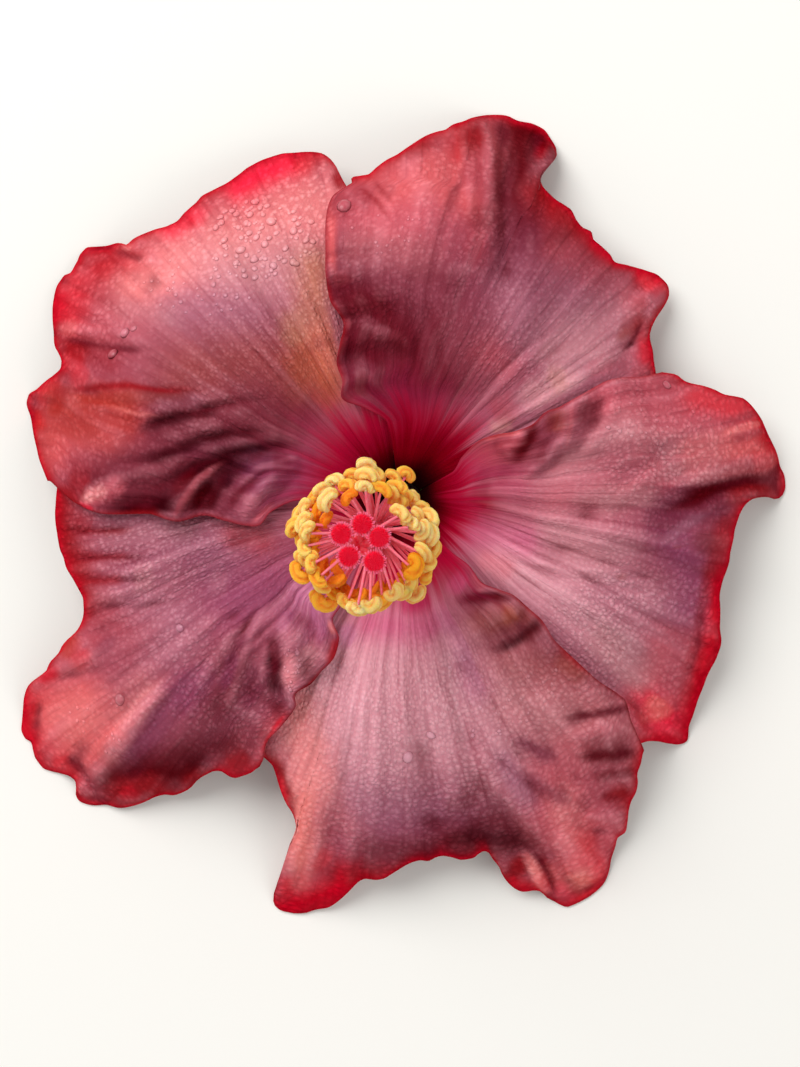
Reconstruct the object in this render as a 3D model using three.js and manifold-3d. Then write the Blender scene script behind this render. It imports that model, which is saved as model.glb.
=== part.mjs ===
// A picked hibiscus bloom, lying face up on its drooping petal tips and its cut stalk.
// Millimetres, +Z up, the flower's axis upright. Plan angles are azimuths in degrees from +X.
import * as THREE from "three";
import { mergeVertices } from "three/addons/utils/BufferGeometryUtils.js";
import Module from "manifold-3d";

const wasm = await Module();
wasm.setup();

// ---- driving dimensions ----------------------------------------------------------------

const SEAT_GAP = 0.3; // clearance left between pieces that grow from one another

const PETAL_THICKNESS = 0.65;
const PETAL_COLUMNS = 27;
const PETAL_ROWS = 16;
const ROW_CROWDING = 1.35; // above 1 the rows of the grid lie closer together in the throat
const CLAW_RADIUS = 3.8;
const CLAW_HALF_ANGLE = 27;
const LAYER_OFFSET = 0.9; // how far a petal's upper edge lies over, and its lower edge under
const OVERLAP_START = [4, 8]; // radii between which neighbouring petals come to lie in layers
const OVERLAP_END = [66, 76]; // and between which they part again
const LIMB_SAG_POWER = 1.6;

// The throat's outline from the claws up to the crest of the bloom: radius, height.
const THROAT = [[3.8, 5.15], [4.8, 9], [6.6, 13.5], [9.6, 18], [14, 21.8], [20, 24.8], [26, 26.4], [32, 27]];
const [CREST_RADIUS, CREST_HEIGHT] = THROAT[THROAT.length - 1];

// Where the limb ends and how high it hangs there: azimuth, radius, height.
const LIMB_EDGE = [
  [-122, 54, 17], [-109, 66, 12], [-105, 82.5, -0.5], [-98, 77, 4], [-89, 68, 12], [-78, 68, 10],
  [-68, 84.5, -0.5], [-60, 79, 4], [-54, 71, 9], [-46, 65, 13], [-40, 72, 0.3], [-32, 68, 7],
  [-21, 64.5, 12], [-10, 61.5, 14], [-1, 66, 9], [2, 74, -0.3], [9, 71, 6], [18, 63, 12],
  [26, 53, 17], [33, 56, 12], [40, 66, 4.5], [50, 60.5, 13], [61, 62.5, 12], [66, 68, 7],
  [72, 76.5, 0], [81, 71.5, 7], [90, 64, 13], [99, 59.5, 15], [109, 70, 8], [124, 68, 11],
  [134, 69.5, 9], [141, 79, 1], [147, 77, 3], [154, 72, 6], [159, 68.5, 11], [165, 74.5, -0.3],
  [177, 65.5, 12], [190, 65, 13], [200, 63, 14], [207, 81, 4], [213, 86, -0.5], [219, 83, 3],
  [225, 84, 0], [233, 65, 9],
];

// Each petal covers its neighbour with its `over` edge and is covered along its `under` edge.
// under, over: radius, azimuth from the throat out. rim: azimuth, radius between them.
// folds: from azimuth, radius to azimuth, radius, then half-width and height.
// ruffle: the lobes that the over edge lifts into: first radius, last radius, lobes, height.
const PETALS = [
  {
    name: "petal_upper_left",
    middle: 141,
    under: [[12, 98], [30, 96], [50, 95]],
    over: [
      [12, 181], [18.5, 181], [24, 186], [26.5, 191], [29.5, 189.5], [32, 187.5], [36, 185],
      [40, 186], [46, 183.5], [54, 183], [59.5, 181], [65.5, 177],
    ],
    rim: [
      [95, 50], [99, 58], [101.5, 65], [104, 68], [109, 69], [116, 69], [122, 67.5], [128, 67.5],
      [134, 69.5], [137.5, 73], [140.5, 78], [145, 77], [150, 75.5], [154, 73], [158, 68.5],
      [161, 69.5], [163, 72.5], [165, 74.5], [169, 71], [173, 68.5], [177, 65.5],
    ],
    folds: [
      [180, 50, 172, 30, 3.2, -2.6], [168, 50, 156, 31, 2.6, -1.8], [186, 44, 176, 36, 2.2, 1.8],
      [155, 66, 152, 50, 3, -2], [141, 76, 139, 62, 3.4, -1.6], [103, 64, 110, 38, 4, 2],
      [164, 64, 172, 44, 3.4, 1.8], [124, 66, 128, 36, 7, 1.4],
    ],
    ruffle: [20, 62, 3, 1.6],
  },
  {
    name: "petal_top",
    middle: 67,
    under: [[12, 22], [25, 16], [44, 14]],
    over: [
      [11, 100], [14.5, 101], [18, 112], [21.5, 121], [24, 117], [27, 116], [30, 112], [33.5, 108.5],
      [37.5, 110], [42, 109], [47.5, 107], [53.5, 105], [57, 103], [59, 99],
    ],
    rim: [
      [14, 44], [20, 50], [26, 53], [31, 54.5], [35, 57.5], [36.5, 61], [38, 64.5], [39.5, 66],
      [42, 65.5], [45, 62.5], [49, 60], [54, 60], [58, 61.5], [62, 62.5], [65, 64.5], [66.2, 70],
      [66.8, 75], [69, 77], [73, 76.5], [77, 75.5], [81, 71], [85, 68], [90, 63.7], [94, 61.5], [99, 59],
    ],
    folds: [
      [74, 72, 67, 46, 3.4, -2], [79, 72, 73, 44, 3.4, 1.2], [66, 74, 68, 62, 2.6, 1.6],
      [88, 62, 80, 42, 4, 1.6], [36, 47, 35, 55, 2.2, 1.8], [44, 60, 46, 40, 4, -1.4],
      [60, 60, 58, 38, 4, 1.2],
    ],
    ruffle: [20, 46, 4, 1.8],
  },
  {
    name: "petal_right",
    middle: -9,
    under: [[12, -52], [30, -58], [50, -58]],
    over: [
      [11, 28], [14, 35], [17.5, 37], [21, 34], [24, 30.5], [27, 29.5], [30.5, 31], [33, 30],
      [41.5, 30], [45, 29], [49, 27], [53, 26],
    ],
    rim: [
      [-58, 50], [-50, 60], [-45.5, 64.5], [-43.5, 67], [-41.5, 71], [-40, 72.5], [-38.5, 71],
      [-36, 70], [-32, 68], [-27.5, 67], [-24, 66], [-20, 64], [-14, 62], [-9, 61.5], [-4.5, 61.5],
      [-1.5, 63], [-0.5, 66], [0, 70], [1, 73], [2.2, 74], [5, 72], [9, 70], [13, 68], [16, 65.5],
      [18.5, 62], [22, 56.5], [26, 53],
    ],
    folds: [
      [357, 34, 2, 56, 3, -3], [2, 56, 4, 72, 2.6, -2], [20, 31, 29, 37, 2.2, 2], [10, 66, 12, 40, 4, 1.8],
      [325, 24, 328, 52, 4, 1.6], [344, 60, 342, 32, 4, -1.4], [352, 60, 350, 38, 3.4, 1.4],
    ],
    ruffle: [20, 48, 3, 1.6],
  },
  {
    name: "petal_lower_right",
    middle: -87,
    under: [[12, -130], [30, -134], [47, -132]],
    over: [
      [14, -47], [17.5, -45], [21, -46.5], [24.5, -43], [27, -41], [32.5, -41], [38, -43],
      [47, -43], [54.5, -42], [58.5, -44], [64.7, -46],
    ],
    rim: [
      [-132, 47], [-124, 51], [-118, 55], [-115, 57], [-111, 62], [-108.5, 65], [-108.1, 71],
      [-107.8, 77], [-107.3, 81], [-105, 82], [-102, 80], [-98.5, 76], [-93.5, 71], [-89, 68],
      [-84, 67], [-79, 67.5], [-77, 67], [-75.5, 68.5], [-74.5, 74], [-72, 78], [-69.5, 82],
      [-67.5, 84.6], [-65, 84], [-62, 82], [-59, 78], [-56.5, 76], [-54.5, 72.5], [-51, 69.5],
      [-48.5, 67], [-46, 64.7],
    ],
    folds: [
      [290, 28, 322, 28, 3.4, 2.4], [298, 32, 318, 35, 2.4, -2], [287, 50, 297, 80, 3.4, 2],
      [277, 70, 274, 48, 5, -2], [309, 60, 314, 50, 2.6, 1.6], [250, 66, 254, 40, 4, 1.6],
      [263, 66, 265, 38, 5, 1],
    ],
    ruffle: [18, 62, 4, 1.6],
  },
  {
    name: "petal_lower_left",
    middle: 206,
    under: [[12, 168], [30, 165], [52, 168]],
    over: [
      [14, 238], [21, 241], [25, 240], [28, 246], [31, 247], [34.5, 245], [37, 244], [40, 241.5],
      [42, 243], [47, 242], [50.5, 241], [54.2, 242],
    ],
    rim: [
      [168, 52], [172, 58], [177, 65], [181, 65.5], [186, 65.5], [191, 64.8], [196, 63],
      [200, 63.2], [203, 68], [205, 73.5], [206.3, 79.5], [208.5, 84], [212, 86], [216, 85.5],
      [219, 82.5], [221.5, 82.5], [223.5, 84.5], [226, 81.5], [229, 76], [231.5, 70.5], [233.5, 63.5],
      [236, 60.3], [239, 59.5], [240.5, 57], [242, 54.2],
    ],
    folds: [
      [222, 36, 227, 54, 2.8, -2.2], [228, 33, 237, 46, 2.4, -1.8], [232, 32, 243, 42, 2.2, 1.8],
      [215, 42, 222, 76, 3.4, 2], [219, 78, 233, 62, 4, -1.8], [205, 60, 204, 36, 4, -1.4],
      [196, 60, 194, 36, 3.6, 1.2],
    ],
    ruffle: [20, 52, 4, 1.6],
  },
];

const RECEPTACLE_RADIUS = 4;
const RECEPTACLE_TOP = 4.8;
const RECEPTACLE_RIM = 0.8;
const STALK_RADIUS = 1.9;
const STALK_LENGTH = 2.2;

const CALYX_THICKNESS = 0.75;
const CALYX_COLUMNS = 40;
const CALYX_ROWS = 5;
const CALYX_TEETH = 5;
const CALYX_TURN = 31;
const CALYX_NOTCH = 0.62; // share of the calyx's length that its teeth are joined for
// The calyx's outline from the receptacle to a tooth's tip: radius, height.
const CALYX_OUTLINE = [[4.68, 3.6], [5.7, 5.2], [6.7, 8.4], [8.4, 12.5], [11, 16.6], [15.2, 19.6]];

const BRACTS = 7;
const BRACT_WIDTH = 2.4;
const BRACT_THICKNESS = 0.8;
const BRACT_ROWS = 6;
// A bract's outline from the ring that carries it to its tip: radius, height.
const BRACT_OUTLINE = [[2.9, 1.25], [5.5, 1.5], [9, 3.4], [12, 7], [13.6, 11.5]];
const BRACT_RING = { inner: STALK_RADIUS + SEAT_GAP, outer: 3.8, bottom: 0.6, top: 1.7 };

const COLUMN_FOOT = RECEPTACLE_TOP + SEAT_GAP;
const COLUMN_TOP = new THREE.Vector3(-6.4, -7.6, 62.5);
const COLUMN_LEAN_POWER = 1.25;
const COLUMN_FOOT_RADIUS = 3.1;
const COLUMN_TOP_RADIUS = 1.7;
const COLUMN_SIDES = 12;
const COLUMN_RINGS = 10;
const STYLE_RADIUS = 0.6;
const STYLE_SIDES = 10;
const STYLE_SOCKET_DEPTH = 5;

const FILAMENT_RADIUS = 0.32;
const FILAMENT_SIDES = 4;
const FILAMENT_DROP = 3.5; // how far below its anther a filament leaves the column
const ANTHER_LENGTH = 3.7;
const ANTHER_WIDTH = 2.5;
const ANTHER_SEED = 7;
// Anthers about the column's top: azimuth, reach, height.
const ANTHERS = [
  [89, 12.3, 55], [87, 10.4, 60], [88, 8.4, 61], [107, 9.1, 58], [106, 7.2, 60], [118, 10.5, 56],
  [131, 10.5, 56], [130, 8.5, 61], [158, 11.2, 53], [163, 9.8, 60], [170, 11.4, 55], [172, 8.8, 61],
  [185, 9.3, 60], [195, 10, 55], [189, 8, 58], [206, 11.6, 55], [204, 8.8, 61], [219, 9.1, 60],
  [233, 7.6, 56], [227, 6.1, 55], [235, 11.8, 51], [255, 10.1, 56], [265, 10.7, 60], [276, 10.1, 60],
  [288, 9.8, 56], [299, 9.4, 60], [308, 10.2, 56], [314, 12, 53], [331, 8.7, 60], [330, 11, 55],
  [342, 10.7, 56], [354, 11.1, 53], [6, 10.6, 56], [18, 11.2, 55], [17, 7.8, 60], [36, 7, 61],
  [58, 9.9, 56], [66, 11.2, 51], [58, 13, 44], [42, 10.3, 47], [33, 9.9, 49], [71, 8.5, 60],
  [146, 8.8, 56], [149, 6.7, 58], [255, 8.3, 53], [281, 7.9, 53], [49, 8.3, 55],
];

const STIGMA_RADIUS = 1.75;
const STIGMA_THICKNESS = 1.5;
const ARM_RADIUS = 0.45;
const ARM_SIDES = 6;
const ARM_SPLIT_HEIGHT = 66;
const STIGMA_HEIGHT = 72.5;
// The five stigmas about the column's top, in plan.
const STIGMAS = [[0, 2.7], [-3.4, 1.1], [2.7, 0.6], [-2.2, -2.5], [1.9, -3.3]];

const COLOURS = {
  petal: { color: 0xb3607a, roughness: 0.7, metalness: 0 },
  anthers: { color: 0xf0b84a, roughness: 0.85, metalness: 0 },
  stigmas: { color: 0xd81030, roughness: 0.8, metalness: 0 },
  sepal: { color: 0x6f8f3c, roughness: 0.75, metalness: 0 },
  stalk: { color: 0x7f9a48, roughness: 0.75, metalness: 0 },
};

// ---- helpers -----------------------------------------------------------------------------

const radians = THREE.MathUtils.degToRad;
const { lerp, clamp, smoothstep } = THREE.MathUtils;

/** Height of a smooth curve at x through points of rising x: it never overshoots its points. */
function through(points, x) {
  const last = points.length - 1;
  const at = clamp(x, points[0][0], points[last][0]);
  let i = 0;
  while (i < last - 1 && at > points[i + 1][0]) i += 1;
  const slope = (k) => (points[k + 1][1] - points[k][1]) / (points[k + 1][0] - points[k][0]);
  const tangent = (k) => {
    if (k === 0) return slope(0);
    if (k === last) return slope(last - 1);
    const before = slope(k - 1);
    const after = slope(k);
    return before * after <= 0 ? 0 : (2 * before * after) / (before + after);
  };
  const step = points[i + 1][0] - points[i][0];
  const t = (at - points[i][0]) / step;
  const start = (1 + 2 * t) * (1 - t) ** 2 * points[i][1] + t * (1 - t) ** 2 * step * tangent(i);
  const end = t * t * (3 - 2 * t) * points[i + 1][1] - t * t * (1 - t) * step * tangent(i + 1);
  return start + end;
}

function polar(radius, azimuth, height) {
  return new THREE.Vector3(radius * Math.cos(radians(azimuth)), radius * Math.sin(radians(azimuth)), height);
}

/** Random numbers from 0 to 1 that repeat from one run to the next. */
function seededRandom(seed) {
  let state = seed;
  return () => {
    state = (state * 16807) % 2147483647;
    return state / 2147483647;
  };
}

/** Triangles of a grid of points, row by row: the same diagonal in each cell. */
function gridTriangles(columns, rows, vertex, wrap = false) {
  const triangles = [];
  for (let i = 0; i < columns; i += 1) {
    const next = wrap ? (i + 1) % columns : i + 1;
    for (let j = 0; j < rows; j += 1) {
      const [a, b, c, d] = [vertex(i, j), vertex(next, j), vertex(next, j + 1), vertex(i, j + 1)];
      triangles.push([a, b, c], [a, c, d]);
    }
  }
  return triangles;
}

/** A closed blade of even thickness about the surface pointAt(column, row). */
function blade(columns, rows, thickness, pointAt, normalAt, wrap = false) {
  const lines = wrap ? columns : columns + 1;
  const count = lines * (rows + 1);
  const positions = [];
  for (const side of [0.5, -0.5]) {
    for (let i = 0; i < lines; i += 1) {
      for (let j = 0; j <= rows; j += 1) {
        positions.push(...pointAt(i, j).addScaledVector(normalAt(i, j), side * thickness));
      }
    }
  }
  const top = (i, j) => i * (rows + 1) + j;
  const triangles = [];
  for (const [a, b, c] of gridTriangles(columns, rows, top, wrap)) {
    triangles.push([a, c, b], [a + count, b + count, c + count]);
  }
  const wall = (a, b) => triangles.push([a, b, b + count], [a, b + count, a + count]);
  for (let i = 0; i < columns; i += 1) {
    const next = wrap ? (i + 1) % columns : i + 1;
    wall(top(i, 0), top(next, 0));
    wall(top(next, rows), top(i, rows));
  }
  for (let j = 0; j < rows && !wrap; j += 1) {
    wall(top(0, j + 1), top(0, j));
    wall(top(columns, j), top(columns, j + 1));
  }
  return geometryOf(positions, triangles.flat());
}

function geometryOf(positions, index) {
  const geometry = new THREE.BufferGeometry();
  geometry.setAttribute("position", new THREE.Float32BufferAttribute(positions, 3));
  geometry.setIndex(index);
  return geometry;
}

/** A closed round rod along the points. */
function rod(points, radius, sides) {
  const positions = [];
  points.forEach((point, k) => {
    const along = new THREE.Vector3().subVectors(
      points[Math.min(k + 1, points.length - 1)],
      points[Math.max(k - 1, 0)],
    ).normalize();
    const side = Math.abs(along.z) > 0.9 ? new THREE.Vector3(1, 0, 0) : new THREE.Vector3(0, 0, 1);
    const across = new THREE.Vector3().crossVectors(along, side).normalize();
    const up = new THREE.Vector3().crossVectors(along, across);
    for (let i = 0; i < sides; i += 1) {
      const turn = (2 * Math.PI * i) / sides;
      const corner = point.clone()
        .addScaledVector(across, radius * Math.cos(turn))
        .addScaledVector(up, radius * Math.sin(turn));
      positions.push(...corner);
    }
  });
  const vertex = (i, k) => k * sides + i;
  const triangles = gridTriangles(sides, points.length - 1, vertex, true);
  const first = positions.length / 3;
  const last = first + 1;
  positions.push(...points[0], ...points[points.length - 1]);
  for (let i = 0; i < sides; i += 1) {
    const next = (i + 1) % sides;
    triangles.push([first, vertex(next, 0), vertex(i, 0)]);
    triangles.push([last, vertex(i, points.length - 1), vertex(next, points.length - 1)]);
  }
  return geometryOf(positions, triangles.flat());
}

/** A three.js geometry as a manifold-3d solid. */
function solidOf(geometry) {
  const bare = new THREE.BufferGeometry();
  bare.setAttribute("position", geometry.getAttribute("position"));
  if (geometry.index) bare.setIndex(geometry.index);
  const merged = mergeVertices(bare, 1e-4);
  return new wasm.Manifold(new wasm.Mesh({
    numProp: 3,
    vertProperties: new Float32Array(merged.getAttribute("position").array),
    triVerts: new Uint32Array(merged.index.array),
  }));
}

function geometryOfSolid(solid) {
  const mesh = solid.getMesh();
  const positions = [];
  for (let i = 0; i < mesh.vertProperties.length; i += mesh.numProp) {
    positions.push(...mesh.vertProperties.slice(i, i + 3));
  }
  return geometryOf(positions, [...mesh.triVerts]);
}

function joined(geometries) {
  return geometries.map(solidOf).reduce((whole, piece) => whole.add(piece));
}

// ---- petals --------------------------------------------------------------------------------

const wrappedEdge = [-360, 0, 360].flatMap((turn) => LIMB_EDGE.map(([a, r, z]) => [a + turn, r, z]));
const edgeRadii = wrappedEdge.map(([azimuth, radius]) => [azimuth, radius]);
const edgeHeights = wrappedEdge.map(([azimuth, , height]) => [azimuth, height]);

/** Height of the whole bloom's face at a place in plan, before any petal's own folds. */
function limbHeight(radius, azimuth) {
  const rise = through(THROAT, radius);
  const reach = through(edgeRadii, azimuth) - CREST_RADIUS;
  const fall = CREST_HEIGHT - through(edgeHeights, azimuth);
  return rise - fall * (Math.max(radius - CREST_RADIUS, 0) / reach) ** LIMB_SAG_POWER;
}

/** A petal's place in plan: along runs from claw to rim, across from under edge to over edge. */
function petalPlan(petal, along, across) {
  const { under, over, rim, middle } = petal;
  const rimRadius = through(rim, lerp(rim[0][0], rim[rim.length - 1][0], across));
  const radius = lerp(CLAW_RADIUS, rimRadius, along);
  const claw = [CLAW_RADIUS, middle + CLAW_HALF_ANGLE];
  const start = through([[CLAW_RADIUS, middle - CLAW_HALF_ANGLE], ...under], radius);
  const straight = through([claw, over[0], over[over.length - 1]], radius);
  const wavy = through([claw, ...over], radius);
  return [radius, lerp(start, straight, across) + (wavy - straight) * across ** 4];
}

/** How far neighbouring petals lie in layers at a radius, from 0 to 1. */
function overlap(radius) {
  return smoothstep(radius, ...OVERLAP_START) * (1 - smoothstep(radius, ...OVERLAP_END));
}

/** Height added by the petal's folds and ruffled edge, kept clear of the petals it overlaps. */
function foldHeight(petal, radius, azimuth, across) {
  const place = polar(radius, azimuth, 0);
  const overlapped = overlap(radius);
  const under = overlapped * (1 - smoothstep(across, 0.28, 0.42));
  const over = overlapped * smoothstep(across, 0.58, 0.72);
  let height = 0;
  for (const [azimuth0, radius0, azimuth1, radius1, halfWidth, rise] of petal.folds) {
    const line = new THREE.Line3(polar(radius0, azimuth0, 0), polar(radius1, azimuth1, 0));
    const nearest = line.closestPointToPoint(place, true, new THREE.Vector3());
    const keep = rise > 0 ? 1 - under : 1 - over;
    height += keep * rise * Math.exp(-nearest.distanceToSquared(place) / halfWidth ** 2);
  }
  const [first, last, lobes, lift] = petal.ruffle;
  const share = (radius - first) / (last - first);
  if (share > 0 && share < 1) height += lift * across ** 6 * Math.sin(Math.PI * lobes * share) ** 2;
  return height;
}

function petalPoint(petal, along, across) {
  const [radius, azimuth] = petalPlan(petal, along, across);
  const floor = PETAL_THICKNESS * 0.6;
  const height = Math.max(limbHeight(radius, azimuth) + foldHeight(petal, radius, azimuth, across), floor);
  const slope = (limbHeight(radius + 0.1, azimuth) - limbHeight(radius - 0.1, azimuth)) / 0.2;
  const layer = overlap(radius) * LAYER_OFFSET * (2 * smoothstep(across, 0.3, 0.7) - 1);
  const tilt = Math.hypot(1, slope);
  return polar(radius - (layer * slope) / tilt, azimuth, height + layer / tilt);
}

/** Values of across for the petal's columns, spaced evenly along its rim. */
function petalColumns(petal) {
  const samples = 400;
  const lengths = [0];
  for (let k = 1; k <= samples; k += 1) {
    const [r0, a0] = petalPlan(petal, 1, (k - 1) / samples);
    const [r1, a1] = petalPlan(petal, 1, k / samples);
    lengths.push(lengths[k - 1] + polar(r0, a0, 0).distanceTo(polar(r1, a1, 0)));
  }
  const places = lengths.map((length, k) => [length / lengths[samples], k / samples]);
  return Array.from({ length: PETAL_COLUMNS + 1 }, (_, i) => through(places, i / PETAL_COLUMNS));
}

function petalGeometry(petal) {
  const columns = petalColumns(petal);
  const alongAt = (j) => (j / PETAL_ROWS) ** ROW_CROWDING;
  const pointAt = (i, j) => petalPoint(petal, alongAt(j), columns[i]);
  const step = 0.004;
  const normalAt = (i, j) => {
    const [along0, along1] = [Math.max(alongAt(j) - step, 0), Math.min(alongAt(j) + step, 1)];
    const [across0, across1] = [Math.max(columns[i] - step, 0), Math.min(columns[i] + step, 1)];
    const outward = petalPoint(petal, along1, columns[i]).sub(petalPoint(petal, along0, columns[i]));
    const sideways = petalPoint(petal, alongAt(j), across1).sub(petalPoint(petal, alongAt(j), across0));
    return outward.cross(sideways).normalize();
  };
  return blade(PETAL_COLUMNS, PETAL_ROWS, PETAL_THICKNESS, pointAt, normalAt);
}

// ---- calyx, bracts and stalk -------------------------------------------------------------------

/** Point and outward normal on an upright outline of radius and height, a share of the way up. */
function outlinePoint(outline, share, azimuth) {
  const spaced = outline.map(([, height], k) => [k / (outline.length - 1), height]);
  const radii = outline.map(([radius], k) => [k / (outline.length - 1), radius]);
  return polar(through(radii, share), azimuth, through(spaced, share));
}

function outlineNormal(outline, share, azimuth) {
  const step = 0.01;
  const along = outlinePoint(outline, Math.min(share + step, 1), azimuth)
    .sub(outlinePoint(outline, Math.max(share - step, 0), azimuth));
  const around = polar(1, azimuth + 90, 0);
  return around.cross(along).normalize();
}

function calyxGeometry() {
  const azimuthAt = (i) => CALYX_TURN + (360 * i) / CALYX_COLUMNS;
  const shareAt = (i, j) => {
    const inTooth = ((i * CALYX_TEETH) / CALYX_COLUMNS) % 1;
    const tooth = 1 - Math.abs(2 * inTooth - 1);
    return (j / CALYX_ROWS) * lerp(CALYX_NOTCH, 1, tooth ** 0.8);
  };
  const pointAt = (i, j) => outlinePoint(CALYX_OUTLINE, shareAt(i, j), azimuthAt(i));
  const normalAt = (i, j) => outlineNormal(CALYX_OUTLINE, shareAt(i, j), azimuthAt(i)).negate();
  return blade(CALYX_COLUMNS, CALYX_ROWS, CALYX_THICKNESS, pointAt, normalAt, true);
}

function bractGeometry(azimuth) {
  const pointAt = (i, j) => {
    const share = j / BRACT_ROWS;
    const halfWidth = (BRACT_WIDTH / 2) * Math.sqrt(1.02 - share ** 3);
    const offset = polar((i - 1) * halfWidth, azimuth + 90, 0);
    return outlinePoint(BRACT_OUTLINE, share, azimuth).add(offset);
  };
  const normalAt = (i, j) => outlineNormal(BRACT_OUTLINE, j / BRACT_ROWS, azimuth).negate();
  return blade(2, BRACT_ROWS, BRACT_THICKNESS, pointAt, normalAt);
}

function epicalyxGeometry() {
  const { inner, outer, bottom, top } = BRACT_RING;
  const section = [[inner, bottom], [outer, bottom], [outer, top], [inner, top], [inner, bottom]];
  const ring = new THREE.LatheGeometry(section.map(([x, y]) => new THREE.Vector2(x, y)), 24);
  ring.rotateX(Math.PI / 2);
  const bracts = Array.from({ length: BRACTS }, (_, k) => bractGeometry((360 * (k + 0.5)) / BRACTS));
  return geometryOfSolid(joined([ring, ...bracts]));
}

function pedicelGeometry() {
  const outline = [
    [0, 0], [STALK_RADIUS, 0], [STALK_RADIUS, STALK_LENGTH], [2.6, STALK_LENGTH + 1],
    [RECEPTACLE_RADIUS, RECEPTACLE_TOP - RECEPTACLE_RIM],
    [RECEPTACLE_RADIUS, RECEPTACLE_TOP], [0, RECEPTACLE_TOP],
  ];
  const geometry = new THREE.LatheGeometry(outline.map(([x, y]) => new THREE.Vector2(x, y)), 24);
  return geometry.rotateX(Math.PI / 2);
}

// ---- staminal column and pistil ------------------------------------------------------------------

/** The middle of the column at a height: it leans over more and more towards its top. */
function columnMiddle(height) {
  const share = clamp((height - COLUMN_FOOT) / (COLUMN_TOP.z - COLUMN_FOOT), 0, 1.2);
  const lean = share ** COLUMN_LEAN_POWER;
  return new THREE.Vector3(COLUMN_TOP.x * lean, COLUMN_TOP.y * lean, height);
}

/** An upright round piece from a profile of radius by height, bent to lean with the column. */
function leaningLathe(profile, sides) {
  const points = [[0, profile[0][1]], ...profile, [0, profile[profile.length - 1][1]]];
  const geometry = new THREE.LatheGeometry(points.map(([x, y]) => new THREE.Vector2(x, y)), sides);
  geometry.rotateX(Math.PI / 2);
  const places = geometry.getAttribute("position");
  for (let i = 0; i < places.count; i += 1) {
    const middle = columnMiddle(places.getZ(i));
    places.setXY(i, places.getX(i) + middle.x, places.getY(i) + middle.y);
  }
  return geometry;
}

function columnTube() {
  const profile = Array.from({ length: COLUMN_RINGS + 1 }, (_, k) => {
    const share = k / COLUMN_RINGS;
    const radius = lerp(COLUMN_FOOT_RADIUS, COLUMN_TOP_RADIUS, Math.sqrt(share));
    return [radius, lerp(COLUMN_FOOT, COLUMN_TOP.z, share)];
  });
  return leaningLathe(profile, COLUMN_SIDES);
}

/** One stamen: a filament that bows up from the column and the anther on its end. */
function stamen([azimuth, reach, height], random) {
  const tip = polar(reach, azimuth, 0).add(COLUMN_TOP).setZ(height);
  const root = columnMiddle(height - FILAMENT_DROP - 0.4 * reach);
  const bend = root.clone().lerp(tip, 0.5);
  bend.z += 0.6;
  const filament = rod([root, bend, tip], FILAMENT_RADIUS, FILAMENT_SIDES);
  const anther = new THREE.SphereGeometry(1, 6, 4);
  anther.scale(ANTHER_WIDTH / 2, ANTHER_LENGTH / 2, (ANTHER_WIDTH / 2) * 0.85);
  anther.rotateX((random() - 0.5) * 0.7);
  anther.rotateZ(radians(azimuth) + (random() - 0.5) * 1.4);
  anther.translate(tip.x, tip.y, tip.z);
  return [filament, anther];
}

function staminalColumnGeometry() {
  const random = seededRandom(ANTHER_SEED);
  const stamens = ANTHERS.flatMap((place) => stamen(place, random));
  const socketRadius = STYLE_RADIUS + SEAT_GAP;
  const socketFoot = COLUMN_TOP.z - STYLE_SOCKET_DEPTH;
  const socket = leaningLathe([[socketRadius, socketFoot], [socketRadius, COLUMN_TOP.z + 2]], STYLE_SIDES);
  return geometryOfSolid(joined([columnTube(), ...stamens]).subtract(solidOf(socket)));
}

function pistilGeometry() {
  const foot = COLUMN_TOP.z - STYLE_SOCKET_DEPTH + SEAT_GAP;
  const profile = [[STYLE_RADIUS, foot], [STYLE_RADIUS, COLUMN_TOP.z], [STYLE_RADIUS, ARM_SPLIT_HEIGHT]];
  const split = columnMiddle(ARM_SPLIT_HEIGHT);
  const pieces = [leaningLathe(profile, STYLE_SIDES)];
  for (const [x, y] of STIGMAS) {
    const pad = new THREE.Vector3(COLUMN_TOP.x + x, COLUMN_TOP.y + y, STIGMA_HEIGHT);
    const under = pad.clone().setZ(STIGMA_HEIGHT - 2.4);
    const start = split.clone().setZ(split.z - 0.7);
    pieces.push(rod([start, under, pad], ARM_RADIUS, ARM_SIDES));
    const head = new THREE.SphereGeometry(1, 12, 6).rotateX(Math.PI / 2);
    head.scale(STIGMA_RADIUS, STIGMA_RADIUS, STIGMA_THICKNESS / 2);
    pieces.push(head.translate(pad.x, pad.y, pad.z));
  }
  return geometryOfSolid(joined(pieces));
}

// ---- the flower -----------------------------------------------------------------------------------

function piece(name, geometry, look) {
  geometry.computeVertexNormals();
  const mesh = new THREE.Mesh(geometry, new THREE.MeshStandardMaterial(look));
  mesh.name = name;
  return mesh;
}

const flower = new THREE.Group();
flower.name = "hibiscus_flower";
for (const petal of PETALS) flower.add(piece(petal.name, petalGeometry(petal), COLOURS.petal));
flower.add(piece("staminal_column", staminalColumnGeometry(), COLOURS.anthers));
flower.add(piece("pistil", pistilGeometry(), COLOURS.stigmas));
flower.add(piece("calyx", calyxGeometry(), COLOURS.sepal));
flower.add(piece("epicalyx", epicalyxGeometry(), COLOURS.sepal));
flower.add(piece("pedicel", pedicelGeometry(), COLOURS.stalk));

// The frame's origin is under the middle of the whole flower's box, on the surface it lies on.
const box = new THREE.Box3().setFromObject(flower);
const middle = box.getCenter(new THREE.Vector3());
flower.position.set(-middle.x, -middle.y, -box.min.z);

export default flower;
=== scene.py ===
"""A picked hibiscus bloom seen from straight above. Blender 4.5.

Tables hold millimetres and degrees about the flower's own axis: azimuth from +X, radius from the axis.
Outlines, hooks, marks, creases and drops have their places in pixels of the 800 by 1067 picture instead.
"""
import math

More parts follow.
